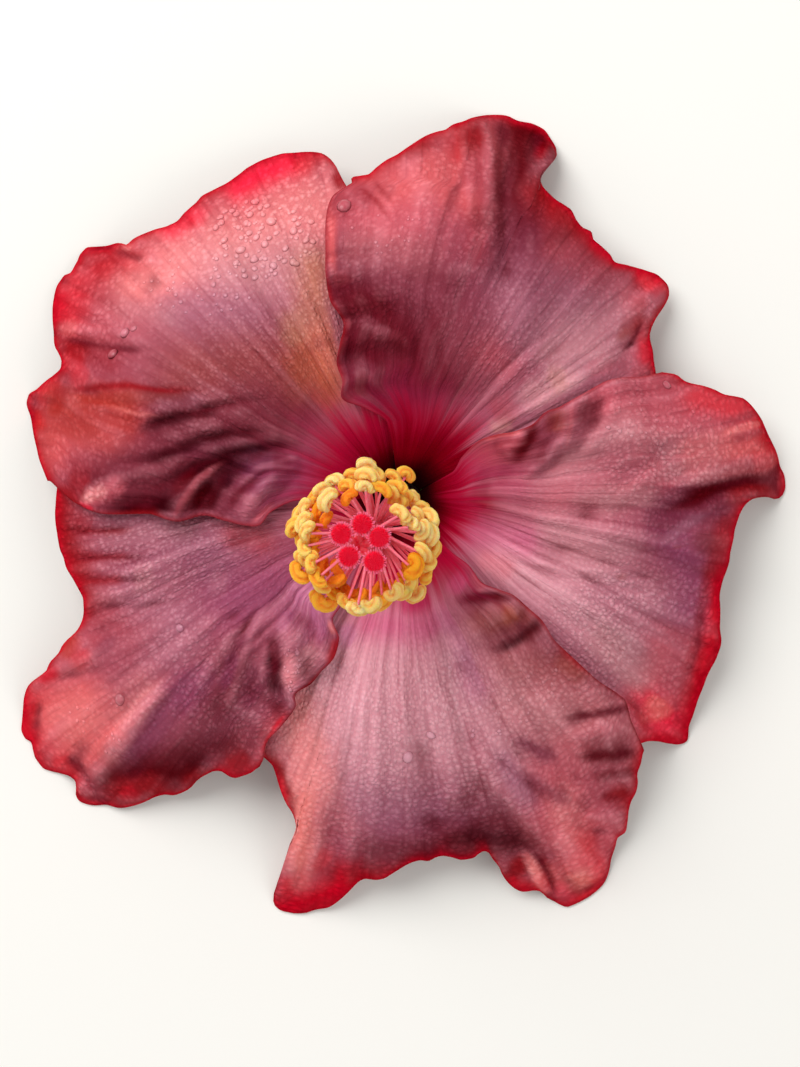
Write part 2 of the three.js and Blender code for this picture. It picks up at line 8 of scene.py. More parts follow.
import bpy
import numpy as np
from mathutils import Matrix, Vector


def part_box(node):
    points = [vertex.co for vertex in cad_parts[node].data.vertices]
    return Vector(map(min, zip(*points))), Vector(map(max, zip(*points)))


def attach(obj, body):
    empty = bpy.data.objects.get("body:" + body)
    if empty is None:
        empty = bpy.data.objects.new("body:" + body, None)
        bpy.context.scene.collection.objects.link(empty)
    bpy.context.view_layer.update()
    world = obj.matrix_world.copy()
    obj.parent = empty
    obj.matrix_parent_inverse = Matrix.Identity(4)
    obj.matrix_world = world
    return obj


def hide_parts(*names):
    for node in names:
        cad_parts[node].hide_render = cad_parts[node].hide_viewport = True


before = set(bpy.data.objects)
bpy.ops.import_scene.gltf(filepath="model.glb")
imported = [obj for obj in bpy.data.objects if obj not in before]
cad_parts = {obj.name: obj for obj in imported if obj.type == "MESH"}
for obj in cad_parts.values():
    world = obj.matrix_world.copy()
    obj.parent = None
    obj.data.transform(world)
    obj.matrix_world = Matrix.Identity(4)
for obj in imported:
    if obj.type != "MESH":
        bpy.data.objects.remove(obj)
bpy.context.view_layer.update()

MM = 0.001
_low, _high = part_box("pedicel")
AXIS = (_low + _high) / 2  # the flower's axis in plan, in metres
AXIS.z = 0

# ---- the camera --------------------------------------------------------------------------------

CAMERA_PLACE = (-0.36, -6.39)
CAMERA_HEIGHT = 430
LENS = 75
SENSOR = 36
PICTURE_WIDTH, PICTURE_HEIGHT = 800, 1067
PIXELS_PER_SLOPE = LENS / SENSOR * PICTURE_HEIGHT


def seen(points):
    """Where the camera sees points: pixels from the left and from the top of the picture."""
    depth = CAMERA_HEIGHT - points[..., 2]
    right = (points[..., 0] - CAMERA_PLACE[0]) * PIXELS_PER_SLOPE / depth
    up = (points[..., 1] - CAMERA_PLACE[1]) * PIXELS_PER_SLOPE / depth
    return np.stack([PICTURE_WIDTH / 2 + right, PICTURE_HEIGHT / 2 - up], axis=-1)


# ---- the bloom's measures ----------------------------------------------------------------------

PETAL_THICKNESS = 0.42
MARGIN_THICKNESS = 0.16
GRID_COLUMNS = 206
GRID_ROWS = 150
ROW_CROWDING = 1.25
CLAW_RADIUS = 3.8
CLAW_HALF_ANGLE = 36
LAYER_OFFSET = 0.9  # how far a petal moves off the middle where it lies over or under its neighbour
LAYER_TURN = (0.3, 0.7)  # where across a petal it goes from under to over
OVERLAP_START = (4, 8)
OVERLAP_END = (66, 76)
LIMB_SAG_POWER = 1.6
FLOOR_CLEARANCE = 0.3
FLOOR_SOFTNESS = 0.5  # how gently a petal that nears the floor levels out
RIM_POWER = 4.5  # how near the rim the rows of the grid begin to follow its lobes
RIM_PASSES = 4  # passes that put the rim at the height that the last pass gave it
RIM_SAMPLES = 200  # places along the rim that its broad line is drawn from
RIM_BLUR = 12  # how many of them to each side it averages
EDGE_POWER = 4  # how near the over edge a petal begins to follow its waves
RUFFLE_POWER = 6  # how near that edge it begins to lift into its ruffle
MARGIN_WIDTH = 2  # how far in from the rim the petal reaches its full thickness
PETAL_SPAN = 85  # degrees that a petal takes up, about
COLUMN_SAMPLES = 2000  # places along the rim that the grid's columns are spaced by
COLUMN_LOBE_SHARE = 0.3  # how much the rim's moves in and out count in that spacing
HOLLOW_BLUR = 4  # how far around, in cells of the grid, a hollow is compared, for the painted shade in hollows and painted highlights on ridges

# Heights of the small relief: two sizes of pleat, the wrinkles, the frill of the rim and of the sides.
PLEATS = (0.7, 0.3)
WRINKLES = 0.16
FRILLS = (0.9, 0.4)
ROLL = 0.7  # how far the rim turns down
SIDE_FRILL = 0.35

# Where across a petal, from 0 under its neighbour to 1 over the other, its relief gives way to them.
FOLD_UNDER, FOLD_OVER = (0.28, 0.42), (0.58, 0.72)
CREASE_UNDER, CREASE_OVER = (0.2, 0.34), (0.66, 0.8)

THROAT = [(3.8, 5.15), (4.8, 9), (6.6, 13.5), (9.6, 18), (14, 21.8), (20, 24.8), (26, 26.4), (32, 27)]
CREST_RADIUS, CREST_HEIGHT = THROAT[-1]

# Where the limb ends and how high it hangs there: azimuth, radius, height.
LIMB_EDGE = [
    (-122, 54, 17), (-109, 66, 12), (-105, 82.5, -0.5), (-98, 77, 4), (-89, 68, 12), (-78, 68, 10),
    (-68, 84.5, -0.5), (-60, 79, 4), (-54, 71, 9), (-46, 65, 13), (-40, 72, 0.3), (-32, 68, 7),
    (-21, 64.5, 12), (-10, 61.5, 14), (-1, 66, 9), (2, 74, -0.3), (9, 71, 6), (18, 63, 12),
    (26, 53, 17), (33, 56, 12), (40, 66, 4.5), (50, 60.5, 13), (61, 62.5, 12), (66, 68, 7),
    (72, 76.5, 0), (81, 71.5, 7), (90, 64, 13), (99, 59.5, 15), (109, 70, 8), (124, 68, 11),
    (134, 69.5, 9), (141, 79, 1), (147, 77, 3), (154, 72, 6), (159, 68.5, 11), (165, 74.5, -0.3),
    (177, 65.5, 12), (190, 65, 13), (200, 63, 14), (207, 81, 4), (213, 86, -0.5), (219, 83, 3),
    (225, 84, 0), (233, 65, 9),
]

# Each petal covers its neighbour with its `over` edge and is covered along its `under` edge.
# under, over: radius, azimuth from the throat out.
# folds: from azimuth, radius to azimuth, radius, then half-width and height.
# ruffle: the lobes that the over edge lifts into: first radius, last radius, lobes, height.
# middle: azimuth. rays: how strongly the streaks show. throat: how far out the crimson reaches.
# eye: the share of the throat that is darkest.
PETALS = [
    dict(
        name="petal_upper_left", rays=0.55, throat=17, eye=0.85, middle=141,
        under=[(12, 98), (30, 96), (50, 95)],
        over=[
            (12, 181), (18.5, 181), (24, 186), (26.5, 191), (29.5, 189.5), (32, 187.5), (36, 185),
            (40, 186), (46, 183.5), (54, 183), (59.5, 181), (65.5, 177),
        ],
        folds=[
            (180, 50, 172, 30, 3.2, -2.6), (168, 50, 156, 31, 2.6, -1.8), (186, 44, 176, 36, 2.2, 1.8),
            (155, 66, 152, 50, 3, -2), (141, 76, 139, 62, 3.4, -1.6), (103, 64, 110, 38, 4, 2),
            (164, 64, 172, 44, 3.4, 1.8), (124, 66, 128, 36, 7, 1.4),
        ],
        ruffle=(20, 62, 3, 1.6),
    ),
    dict(
        name="petal_top", rays=0.7, throat=16, eye=1.25, middle=67,
        under=[(12, 22), (25, 16), (44, 14)],
        over=[
            (11, 100), (14.5, 101), (18, 112), (21.5, 121), (24, 117), (27, 116), (30, 112), (33.5, 108.5),
            (37.5, 110), (42, 109), (47.5, 107), (53.5, 105), (57, 103), (59, 99),
        ],
        folds=[
            (74, 72, 67, 46, 3.4, -2), (79, 72, 73, 44, 3.4, 1.2), (66, 74, 68, 62, 2.6, 1.6),
            (88, 62, 80, 42, 4, 1.6), (36, 47, 35, 55, 2.2, 1.8), (44, 60, 46, 40, 4, -1.4),
            (60, 60, 58, 38, 4, 1.2),
        ],
        ruffle=(20, 46, 4, 1.8),
    ),
    dict(
        name="petal_right", rays=0.8, throat=12.5, eye=1.1, middle=-9,
        under=[(12, -52), (30, -58), (50, -58)],
        over=[
            (11, 28), (14, 35), (17.5, 37), (21, 34), (24, 30.5), (27, 29.5), (30.5, 31), (33, 30),
            (41.5, 30), (45, 29), (49, 27), (53, 26),
        ],
        folds=[
            (357, 34, 2, 56, 3, -3), (2, 56, 4, 72, 2.6, -2), (20, 31, 29, 37, 2.2, 2),
            (10, 66, 12, 40, 4, 1.8), (325, 24, 328, 52, 4, 1.6), (344, 60, 342, 32, 4, -1.4),
            (352, 60, 350, 38, 3.4, 1.4),
        ],
        ruffle=(20, 48, 3, 1.6),
    ),
    dict(
        name="petal_lower_right", rays=0.75, throat=17, eye=0.85, middle=-87,
        under=[(12, -130), (30, -134), (47, -132)],
        over=[
            (14, -47), (17.5, -45), (21, -46.5), (24.5, -43), (27, -41), (32.5, -41), (38, -43),
            (47, -43), (54.5, -42), (58.5, -44), (64.7, -46),
        ],
        folds=[
            (290, 28, 322, 28, 3.4, 2.4), (298, 32, 318, 35, 2.4, -2), (287, 50, 297, 80, 3.4, 2),
            (277, 70, 274, 48, 5, -2), (309, 60, 314, 50, 2.6, 1.6), (250, 66, 254, 40, 4, 1.6),
            (263, 66, 265, 38, 5, 1),
        ],
        ruffle=(18, 62, 4, 1.6),
    ),
    dict(
        name="petal_lower_left", rays=0.9, throat=14, eye=0.85, middle=206,
        under=[(12, 168), (30, 165), (52, 168)],
        over=[
            (14, 238), (21, 241), (25, 240), (28, 246), (31, 247), (34.5, 245), (37, 244), (40, 241.5),
            (42, 243), (47, 242), (50.5, 241), (54.2, 242),
        ],
        folds=[
            (222, 36, 227, 54, 2.8, -2.2), (228, 33, 237, 46, 2.4, -1.8), (232, 32, 243, 42, 2.2, 1.8),
            (215, 42, 222, 76, 3.4, 2), (219, 78, 233, 62, 4, -1.8), (205, 60, 204, 36, 4, -1.4),
            (196, 60, 194, 36, 3.6, 1.2),
        ],
        ruffle=(20, 52, 4, 1.6),
    ),
]

# The rim of each petal from its under edge to its over edge, in pixels of the picture as the camera sees it.
OUTLINES = {
    "petal_upper_left": (
        379, 233, 354, 195, 345, 181, 340, 172, 335, 162, 328, 154, 320, 150, 305, 149, 290, 150, 280, 151,
        262, 157, 248, 164, 238, 172, 225, 181, 212, 188, 203, 193, 195, 202, 184, 211, 177, 219, 168, 224,
        155, 228, 143, 233, 134, 238, 128, 243, 120, 241, 105, 243, 95, 244, 86, 246, 81, 252, 78, 260,
        72, 270, 64, 274, 60, 280, 56, 292, 54, 305, 54, 320, 55, 335, 57, 345, 62, 353, 65, 360, 64, 367,
        58, 372, 48, 378, 38, 386, 30, 392, 28, 398, 32, 415, 38, 440, 42, 455, 48, 470, 54, 484,
    ),
    "petal_top": (
        628, 442, 648, 410, 659, 385, 659, 372, 657, 360, 656, 350, 653, 335, 655, 325, 660, 315, 668, 303,
        672, 293, 670, 283, 662, 274, 650, 269, 630, 263, 616, 259, 612, 253, 605, 247, 595, 240, 592, 232,
        583, 228, 577, 222, 570, 211, 560, 205, 550, 197, 542, 188, 546, 176, 552, 163, 556, 150, 553, 142,
        545, 130, 535, 125, 520, 122, 510, 117, 490, 115, 475, 118, 465, 123, 455, 126, 447, 132, 440, 134,
        430, 138, 412, 150, 400, 158, 390, 163, 380, 170, 370, 178, 357, 180, 351, 187,
    ),
    "petal_right": (
        542, 723, 580, 738, 610, 744, 640, 746, 650, 744, 660, 744, 672, 746, 680, 746, 687, 742, 689, 735,
        690, 728, 695, 716, 700, 702, 706, 688, 712, 673, 718, 661, 722, 650, 723, 643, 721, 630, 721, 612,
        721, 592, 724, 578, 727, 565, 728, 552, 731, 535, 735, 520, 738, 512, 741, 507, 748, 501, 757, 499,
        768, 498, 778, 497, 783, 494, 785, 488, 784, 479, 780, 468, 775, 455, 770, 444, 764, 432, 758, 420,
        750, 410, 741, 402, 733, 400, 722, 398, 712, 393, 700, 389, 690, 387, 682, 384, 675, 379, 660, 376,
        654, 374,
    ),
    "petal_lower_right": (
        235, 684, 245, 715, 255, 745, 262, 760, 270, 768, 273, 775, 276, 785, 280, 797, 285, 808, 291, 817,
        293, 825, 292, 836, 288, 849, 284, 863, 279, 878, 276, 888, 274, 897, 276, 905, 282, 910, 290, 912,
        303, 912, 315, 909, 327, 907, 335, 902, 342, 896, 350, 888, 358, 881, 365, 879, 373, 880, 381, 879,
        390, 874, 400, 868, 410, 863, 418, 861, 426, 862, 434, 858, 440, 856, 450, 857, 460, 859, 470, 857,
        476, 852, 481, 849, 486, 851, 490, 858, 496, 866, 500, 876, 505, 883, 512, 889, 520, 892, 530, 891,
        537, 892, 544, 899, 550, 902, 557, 906, 564, 908, 572, 905, 582, 900, 592, 893, 600, 885, 605, 875,
        608, 862, 612, 850, 615, 840, 621, 836, 624, 825, 625, 812, 627, 803, 631, 795, 633, 783, 632, 775,
        635, 765, 638, 752, 641, 746,
    ),
    "petal_lower_left": (
        130, 441, 95, 455, 55, 480, 53, 495, 52, 515, 54, 535, 56, 548, 60, 558, 62, 565, 67, 574, 72, 582,
        77, 590, 81, 598, 82, 607, 81, 617, 78, 626, 73, 633, 66, 639, 61, 645, 57, 653, 50, 660, 47, 665,
        45, 670, 40, 674, 34, 678, 28, 683, 24, 691, 22, 705, 21, 718, 21, 730, 24, 736, 30, 740, 32, 748,
        35, 757, 41, 765, 49, 769, 59, 772, 68, 775, 73, 779, 74, 785, 74, 793, 77, 798, 83, 801, 92, 803,
        104, 803, 117, 806, 130, 804, 142, 800, 152, 795, 162, 792, 172, 792, 182, 788, 190, 783, 197, 775,
        205, 770, 214, 766, 222, 767, 228, 771, 234, 773, 242, 771, 250, 768, 257, 763, 262, 760,
    ),
}

# Places where a rim hooks sideways: the place, its half-width and how far it moves, in pixels of the picture.
HOOKS = {
    "petal_top": [(557, 154, 9, 3, 4), (542, 177, 8, -4, -1)],
    "petal_right": [(777, 494, 9, -1, 4)],
    "petal_lower_right": [(275, 896, 14, -2, 1), (292, 832, 9, 2, 0)],
}

# ---- colours -----------------------------------------------------------------------------------


def srgb(red, green, blue):
    """A colour as a screen shows it, from 0 to 255, as linear light."""
    return np.array([(c / 255 / 12.92) if c < 10 else ((c / 255 + 0.055) / 1.055) ** 2.4
                     for c in (red, green, blue)])


PALETTE = {
    # Near-black painted shade for the deep throat, a deep crease, the cup's inner face and the stalk inside
    # the cup.
    "black": srgb(46, 4, 10),
    "oxblood": srgb(48, 0, 6),
    "maroon": srgb(90, 2, 10),
    "wine": srgb(98, 16, 32),
    "garnet": srgb(104, 26, 38),
    "dusk": srgb(116, 44, 58),
    "plum": srgb(118, 46, 68),
    "eye": srgb(132, 0, 22),
    "crimson": srgb(176, 14, 56),
    "magenta": srgb(192, 44, 96),
    "hot_pink": srgb(212, 96, 140),
    "lilac": srgb(190, 110, 150),
    "violet": srgb(142, 66, 104),
    "slate": srgb(162, 102, 126),
    "mauve": srgb(160, 80, 98),
    "lavender": srgb(180, 116, 136),
    "frost": srgb(226, 164, 178),
    "sand": srgb(204, 152, 140),
    "grey_pink": srgb(200, 140, 148),
    "pebble": srgb(204, 116, 124),
    "rose": srgb(206, 96, 110),
    "rosewood": srgb(170, 68, 80),
    "brown": srgb(144, 64, 60),
    "tan": srgb(182, 124, 98),
    "ochre": srgb(190, 96, 66),
    "salmon": srgb(228, 100, 102),
    "coral": srgb(244, 130, 122),
    "blossom": srgb(246, 150, 150),
    "flame": srgb(222, 46, 58),
    "rust": srgb(180, 54, 42),
    "brick": srgb(150, 22, 30),
    "red": srgb(198, 6, 34),
    "scarlet": srgb(252, 38, 72),
    # The painted highlight in the middle of each cell of the petal's skin.
    "cell_highlight": srgb(250, 176, 186),
    "petal_back": srgb(205, 130, 136),
    # The pale of the glints painted on the drops.
    "dew": srgb(250, 180, 190),
}

# Marks of colour on each petal, in the order in which they are laid on: colour, strength, half-width,
# then x and y of the places that the mark's line joins, in pixels of the picture as the camera sees it.
# Many are the petals' own colours; the dark marks along the creases, in the folds and beside the edges
# are painted shade, and some pale marks on the ridges are painted highlights.
MARKS = {
    "petal_upper_left": [
        ("salmon", 0.9, 40, 120, 300, 200, 262, 300, 212), ("blossom", 0.8, 30, 190, 262, 250, 235, 312, 205),
        ("scarlet", 0.95, 15, 236, 186, 262, 170, 290, 160), ("flame", 0.6, 11, 285, 158, 322, 162),
        ("scarlet", 0.7, 11, 150, 240, 185, 222, 215, 198), ("red", 0.8, 6, 184, 222, 194, 218),
        ("brick", 0.9, 6, 334, 166, 340, 190), ("brick", 0.9, 14, 86, 264, 112, 264),
        ("red", 0.85, 8, 84, 251, 120, 247), ("maroon", 0.6, 4, 112, 250, 126, 256, 144, 258),
        ("blossom", 0.9, 3, 126, 244, 130, 251), ("rosewood", 0.8, 24, 84, 288, 108, 304),
        ("flame", 0.6, 14, 74, 286, 76, 324), ("rose", 0.6, 14, 96, 322, 134, 328),
        ("red", 0.9, 10, 64, 284, 60, 310, 60, 332), ("red", 0.5, 12, 82, 286, 80, 330),
        ("salmon", 0.6, 6, 60, 331, 84, 329), ("brick", 0.92, 11, 62, 346, 82, 350, 74, 366),
        ("maroon", 0.7, 3.5, 74, 343, 104, 348, 132, 354), ("grey_pink", 0.75, 36, 230, 276, 288, 262),
        ("slate", 0.75, 30, 180, 312, 250, 318), ("grey_pink", 0.4, 16, 130, 312, 166, 316),
        ("mauve", 0.5, 24, 132, 342, 184, 352), ("brown", 0.75, 36, 190, 374, 262, 356, 300, 376),
        ("tan", 0.75, 17, 314, 262, 312, 330), ("ochre", 0.3, 18, 312, 270, 310, 330),
        ("brown", 0.4, 16, 306, 314, 302, 372), ("ochre", 0.9, 15, 318, 340, 326, 372, 330, 396),
        ("ochre", 0.5, 14, 300, 360, 302, 392), ("tan", 0.4, 12, 296, 300, 292, 350),
        ("wine", 0.55, 22, 240, 402, 300, 414), ("flame", 0.6, 10, 62, 362, 92, 366),
        ("flame", 0.85, 12, 34, 396, 48, 390, 66, 380), ("red", 0.85, 9, 34, 402, 44, 440),
        ("rust", 0.88, 16, 60, 406, 104, 402, 128, 402), ("brown", 0.55, 9, 112, 400, 150, 398, 184, 397),
        ("rust", 0.75, 20, 58, 436, 100, 428, 130, 426), ("salmon", 0.5, 14, 62, 452, 112, 444),
        ("rosewood", 0.75, 12, 60, 470, 120, 462), ("brick", 0.9, 3.5, 60, 391, 130, 387, 160, 391, 210, 391),
        ("coral", 0.4, 2, 108, 405, 136, 414, 168, 418), ("slate", 0.4, 7, 150, 411, 180, 405, 214, 400),
        ("wine", 0.4, 14, 236, 424, 280, 420), ("garnet", 0.6, 34, 124, 490, 190, 470, 250, 450),
        ("dusk", 0.7, 32, 124, 486, 180, 462, 250, 438, 300, 424), ("dusk", 0.8, 12, 140, 436, 200, 414),
        ("oxblood", 0.85, 7, 136, 433, 166, 422, 196, 415, 230, 404),
        ("dusk", 0.5, 7, 146, 442, 176, 434, 204, 429),
        ("oxblood", 0.85, 6.5, 124, 462, 164, 456, 204, 442, 232, 434, 270, 430),
        ("plum", 0.4, 6, 170, 460, 206, 452, 240, 446, 284, 443),
        ("oxblood", 0.95, 9, 150, 492, 190, 473, 220, 460, 262, 447, 300, 442),
        ("oxblood", 0.92, 9, 204, 490, 230, 473, 262, 461, 292, 457),
        ("oxblood", 0.95, 12, 106, 510, 150, 504, 192, 498),
        ("oxblood", 0.95, 10, 192, 514, 202, 494, 218, 478), ("maroon", 0.8, 8, 128, 514, 168, 515),
        ("rosewood", 0.5, 3, 172, 526, 184, 504, 200, 480, 228, 459),
        ("oxblood", 0.85, 5, 206, 514, 218, 492, 234, 474), ("maroon", 0.6, 6, 172, 496, 186, 482, 200, 468),
        ("mauve", 0.5, 7, 242, 496, 258, 470), ("brick", 0.85, 9, 58, 482, 72, 492, 84, 510),
        ("rose", 0.7, 7.5, 82, 503, 106, 491, 134, 480), ("blossom", 0.85, 5, 84, 500, 96, 493, 114, 487),
        ("scarlet", 0.9, 5, 78, 505, 98, 511), ("mauve", 0.8, 10, 236, 520, 248, 507, 262, 494),
        ("rose", 0.6, 3.5, 250, 527, 262, 514, 272, 500), ("lavender", 0.5, 6, 256, 492, 282, 478),
        ("violet", 0.6, 18, 262, 478, 304, 474), ("plum", 0.6, 14, 262, 474, 304, 462),
        ("wine", 0.75, 5, 224, 514, 240, 492, 264, 474), ("crimson", 0.8, 8, 286, 508, 322, 505),
        ("brick", 0.55, 17, 64, 350, 112, 360), ("brick", 0.4, 10, 92, 256, 110, 262),
        ("brick", 0.5, 11, 52, 400, 76, 400), ("flame", 0.5, 14, 94, 276, 126, 266),
        ("brick", 0.35, 10, 94, 278, 106, 284), ("rosewood", 0.4, 12, 110, 284, 130, 280),
        ("flame", 0.4, 9, 72, 376, 94, 382), ("garnet", 0.45, 10, 90, 476, 114, 482),
        ("brown", 0.4, 12, 316, 334, 322, 352), ("garnet", 0.35, 10, 190, 420, 216, 418),
        ("blossom", 0.6, 15, 134, 286, 172, 276), ("brick", 0.65, 11, 70, 476, 96, 484),
        ("maroon", 0.4, 12, 136, 398, 208, 402), ("maroon", 0.4, 12, 174, 500, 226, 500),
        ("wine", 0.5, 11, 216, 516, 226, 520), ("wine", 0.5, 10, 270, 464, 290, 458),
    ],
    "petal_top": [
        ("salmon", 0.8, 30, 392, 205, 430, 182, 466, 156), ("rose", 0.7, 20, 400, 222, 448, 212),
        ("rose", 0.75, 20, 352, 215, 400, 240, 430, 245), ("pebble", 0.7, 18, 360, 252, 424, 258),
        ("rosewood", 0.7, 10, 352, 196, 374, 208), ("brick", 0.6, 3, 356, 188, 378, 206, 390, 224),
        ("brick", 0.5, 3, 372, 182, 394, 208), ("salmon", 0.8, 5, 334, 196, 332, 250, 336, 286),
        ("brick", 0.9, 7, 446, 132, 462, 125, 478, 122), ("flame", 0.45, 9, 450, 134, 458, 172),
        ("brick", 0.7, 7, 392, 165, 430, 145, 446, 138), ("rosewood", 0.5, 9, 424, 150, 458, 141),
        ("rosewood", 0.85, 15, 484, 126, 482, 200, 476, 255), ("rose", 0.6, 4, 489, 130, 488, 196),
        ("rose", 0.5, 4, 470, 150, 470, 215), ("maroon", 0.93, 17, 518, 128, 519, 165, 522, 195),
        ("maroon", 0.99, 18, 534, 130, 545, 148), ("red", 0.35, 8, 532, 150, 548, 160),
        ("garnet", 0.9, 20, 524, 205, 532, 240), ("garnet", 0.6, 16, 542, 226, 548, 250),
        ("garnet", 0.4, 16, 550, 242, 582, 258), ("plum", 0.55, 24, 508, 262, 516, 296),
        ("plum", 0.5, 22, 530, 246, 590, 264), ("plum", 0.35, 18, 496, 288, 530, 292),
        ("maroon", 0.6, 5, 499, 128, 498, 200, 501, 262), ("brick", 0.95, 17, 543, 198, 566, 222, 604, 254),
        ("rosewood", 0.75, 16, 560, 252, 592, 276), ("red", 0.8, 7, 582, 234, 612, 256, 640, 268),
        ("red", 0.95, 12, 630, 270, 656, 277, 664, 290), ("flame", 0.6, 6, 636, 280, 656, 285),
        ("brick", 0.85, 6, 668, 298, 656, 318, 648, 332), ("red", 0.8, 9, 648, 326, 650, 372),
        ("rosewood", 0.6, 10, 632, 372, 652, 380), ("rose", 0.6, 13, 622, 290, 648, 302),
        ("plum", 0.5, 30, 430, 262, 470, 300), ("lavender", 0.6, 24, 516, 290, 522, 330),
        ("slate", 0.6, 36, 575, 308, 575, 345), ("grey_pink", 0.35, 20, 570, 326, 622, 316),
        ("grey_pink", 0.6, 18, 556, 354, 596, 348), ("frost", 0.6, 8, 545, 383, 574, 372),
        ("grey_pink", 0.8, 13, 514, 408, 540, 396, 594, 366), ("sand", 0.5, 7, 486, 432, 514, 424),
        ("brown", 0.35, 9, 494, 422, 514, 412), ("rosewood", 0.4, 11, 486, 410, 520, 402),
        ("garnet", 0.45, 30, 440, 322, 480, 352), ("wine", 0.9, 28, 350, 300, 388, 316, 408, 350, 408, 392),
        ("wine", 0.6, 22, 350, 370, 380, 396), ("garnet", 0.8, 12, 336, 303, 372, 309, 400, 328),
        ("garnet", 0.6, 24, 336, 306, 376, 322, 400, 340), ("wine", 0.9, 10, 334, 344, 366, 349, 396, 366),
        ("garnet", 0.5, 10, 338, 334, 386, 341), ("mauve", 0.25, 5, 350, 318, 370, 324, 396, 338),
        ("rose", 0.6, 4, 344, 322, 352, 328), ("rosewood", 0.5, 10, 344, 388, 362, 396),
        ("wine", 0.5, 6, 350, 381, 374, 393, 390, 408), ("brick", 0.6, 10, 346, 409, 362, 417, 382, 430),
        ("wine", 0.8, 28, 400, 406, 446, 384), ("rosewood", 0.35, 10, 584, 372, 620, 362),
        ("wine", 0.5, 5, 428, 400, 416, 350, 408, 306), ("wine", 0.45, 5, 446, 396, 438, 340, 428, 292),
        ("black", 0.9, 3, 629, 344, 637, 339), ("brown", 0.7, 5, 618, 340, 632, 322),
        ("brick", 0.75, 13, 452, 142, 488, 135), ("brick", 0.5, 14, 452, 148, 480, 142),
        ("brick", 0.65, 8, 641, 304, 638, 344), ("brick", 0.4, 10, 618, 318, 640, 326),
        ("rosewood", 0.85, 11, 340, 192, 346, 226), ("rosewood", 0.5, 9, 338, 272, 346, 290),
        ("tan", 0.35, 10, 548, 379, 570, 377), ("brick", 0.45, 10, 636, 296, 646, 308),
        ("brick", 0.5, 8, 640, 310, 640, 330), ("maroon", 0.65, 12, 338, 338, 352, 344),
        ("garnet", 0.45, 12, 478, 206, 482, 236), ("garnet", 0.35, 14, 434, 276, 452, 284),
        ("plum", 0.4, 14, 512, 276, 532, 284), ("wine", 0.35, 10, 352, 380, 368, 382),
        ("garnet", 0.35, 13, 606, 360, 636, 362), ("wine", 0.65, 13, 340, 340, 368, 345),
        ("wine", 0.5, 11, 352, 378, 372, 386), ("salmon", 0.45, 14, 450, 196, 466, 206),
        ("maroon", 0.35, 12, 554, 232, 566, 246), ("rose", 0.35, 15, 490, 354, 508, 366),
        ("plum", 0.35, 14, 366, 258, 392, 262),
    ],
    "petal_right": [
        ("rose", 0.8, 32, 600, 404, 660, 420, 700, 440), ("rose", 0.5, 15, 650, 460, 716, 448),
        ("grey_pink", 0.35, 14, 668, 462, 708, 454), ("plum", 0.55, 12, 640, 506, 672, 496),
        ("grey_pink", 0.5, 17, 628, 440, 700, 452), ("salmon", 0.85, 16, 690, 458, 730, 452, 768, 448),
        ("flame", 0.75, 14, 690, 397, 730, 408, 758, 430), ("red", 0.75, 8, 748, 412, 766, 444, 778, 464),
        ("rosewood", 0.8, 6, 712, 430, 758, 412), ("rosewood", 0.6, 4, 722, 444, 768, 430),
        ("coral", 0.5, 3, 712, 438, 764, 422), ("grey_pink", 0.6, 16, 556, 474, 620, 430),
        ("rose", 0.5, 20, 560, 492, 640, 480), ("plum", 0.3, 6, 596, 496, 640, 462, 684, 436, 722, 426),
        ("violet", 0.8, 26, 668, 536, 690, 566, 692, 604), ("mauve", 0.4, 16, 630, 548, 650, 590),
        ("slate", 0.5, 22, 606, 586, 664, 606), ("frost", 0.4, 20, 576, 566, 644, 600),
        ("plum", 0.85, 14, 664, 520, 690, 514, 714, 518), ("slate", 0.65, 5, 658, 542, 684, 524, 708, 512),
        ("plum", 0.8, 15, 650, 514, 680, 506, 714, 500),
        ("wine", 0.95, 12, 668, 507, 700, 493, 740, 485, 782, 485),
        ("maroon", 0.9, 7, 660, 512, 692, 500, 716, 487, 750, 476, 780, 471),
        ("brick", 0.85, 8, 716, 502, 744, 493, 780, 493), ("brick", 0.75, 10, 726, 508, 716, 550, 708, 596),
        ("brick", 0.5, 6, 708, 556, 704, 600, 700, 640), ("rose", 0.7, 20, 664, 650, 654, 680),
        ("red", 0.97, 9, 720, 556, 719, 600, 716, 640), ("red", 0.97, 15, 714, 640, 704, 680, 693, 732),
        ("scarlet", 0.9, 17, 646, 700, 668, 722), ("scarlet", 0.55, 12, 640, 716, 676, 732),
        ("brick", 0.6, 5, 622, 692, 640, 716, 656, 740), ("red", 0.8, 6, 650, 738, 682, 742),
        ("frost", 0.9, 18, 500, 556, 560, 594, 622, 648), ("rose", 0.5, 11, 472, 552, 520, 572),
        ("frost", 0.4, 18, 552, 530, 620, 548), ("grey_pink", 0.4, 18, 556, 532, 600, 560),
        ("grey_pink", 0.75, 14, 604, 642, 640, 682), ("rosewood", 0.8, 17, 484, 454, 516, 445),
        ("salmon", 0.6, 3, 482, 439, 502, 433, 528, 432), ("brown", 0.9, 10, 554, 404, 561, 440),
        ("salmon", 0.3, 2, 571, 400, 570, 424, 565, 450), ("maroon", 0.9, 7, 536, 414, 531, 440, 512, 468),
        ("wine", 0.4, 8, 514, 462, 496, 484), ("mauve", 0.5, 9, 585, 388, 580, 426, 566, 448),
        ("plum", 0.4, 7, 564, 452, 530, 478), ("magenta", 0.25, 14, 478, 474, 516, 480),
        ("eye", 0.7, 12, 450, 478, 460, 520), ("wine", 0.5, 13, 474, 480, 494, 488),
        ("hot_pink", 0.5, 14, 474, 532, 524, 542), ("crimson", 0.4, 9, 466, 508, 482, 512),
        ("grey_pink", 0.45, 14, 584, 494, 640, 496), ("grey_pink", 0.45, 9, 592, 504, 630, 504),
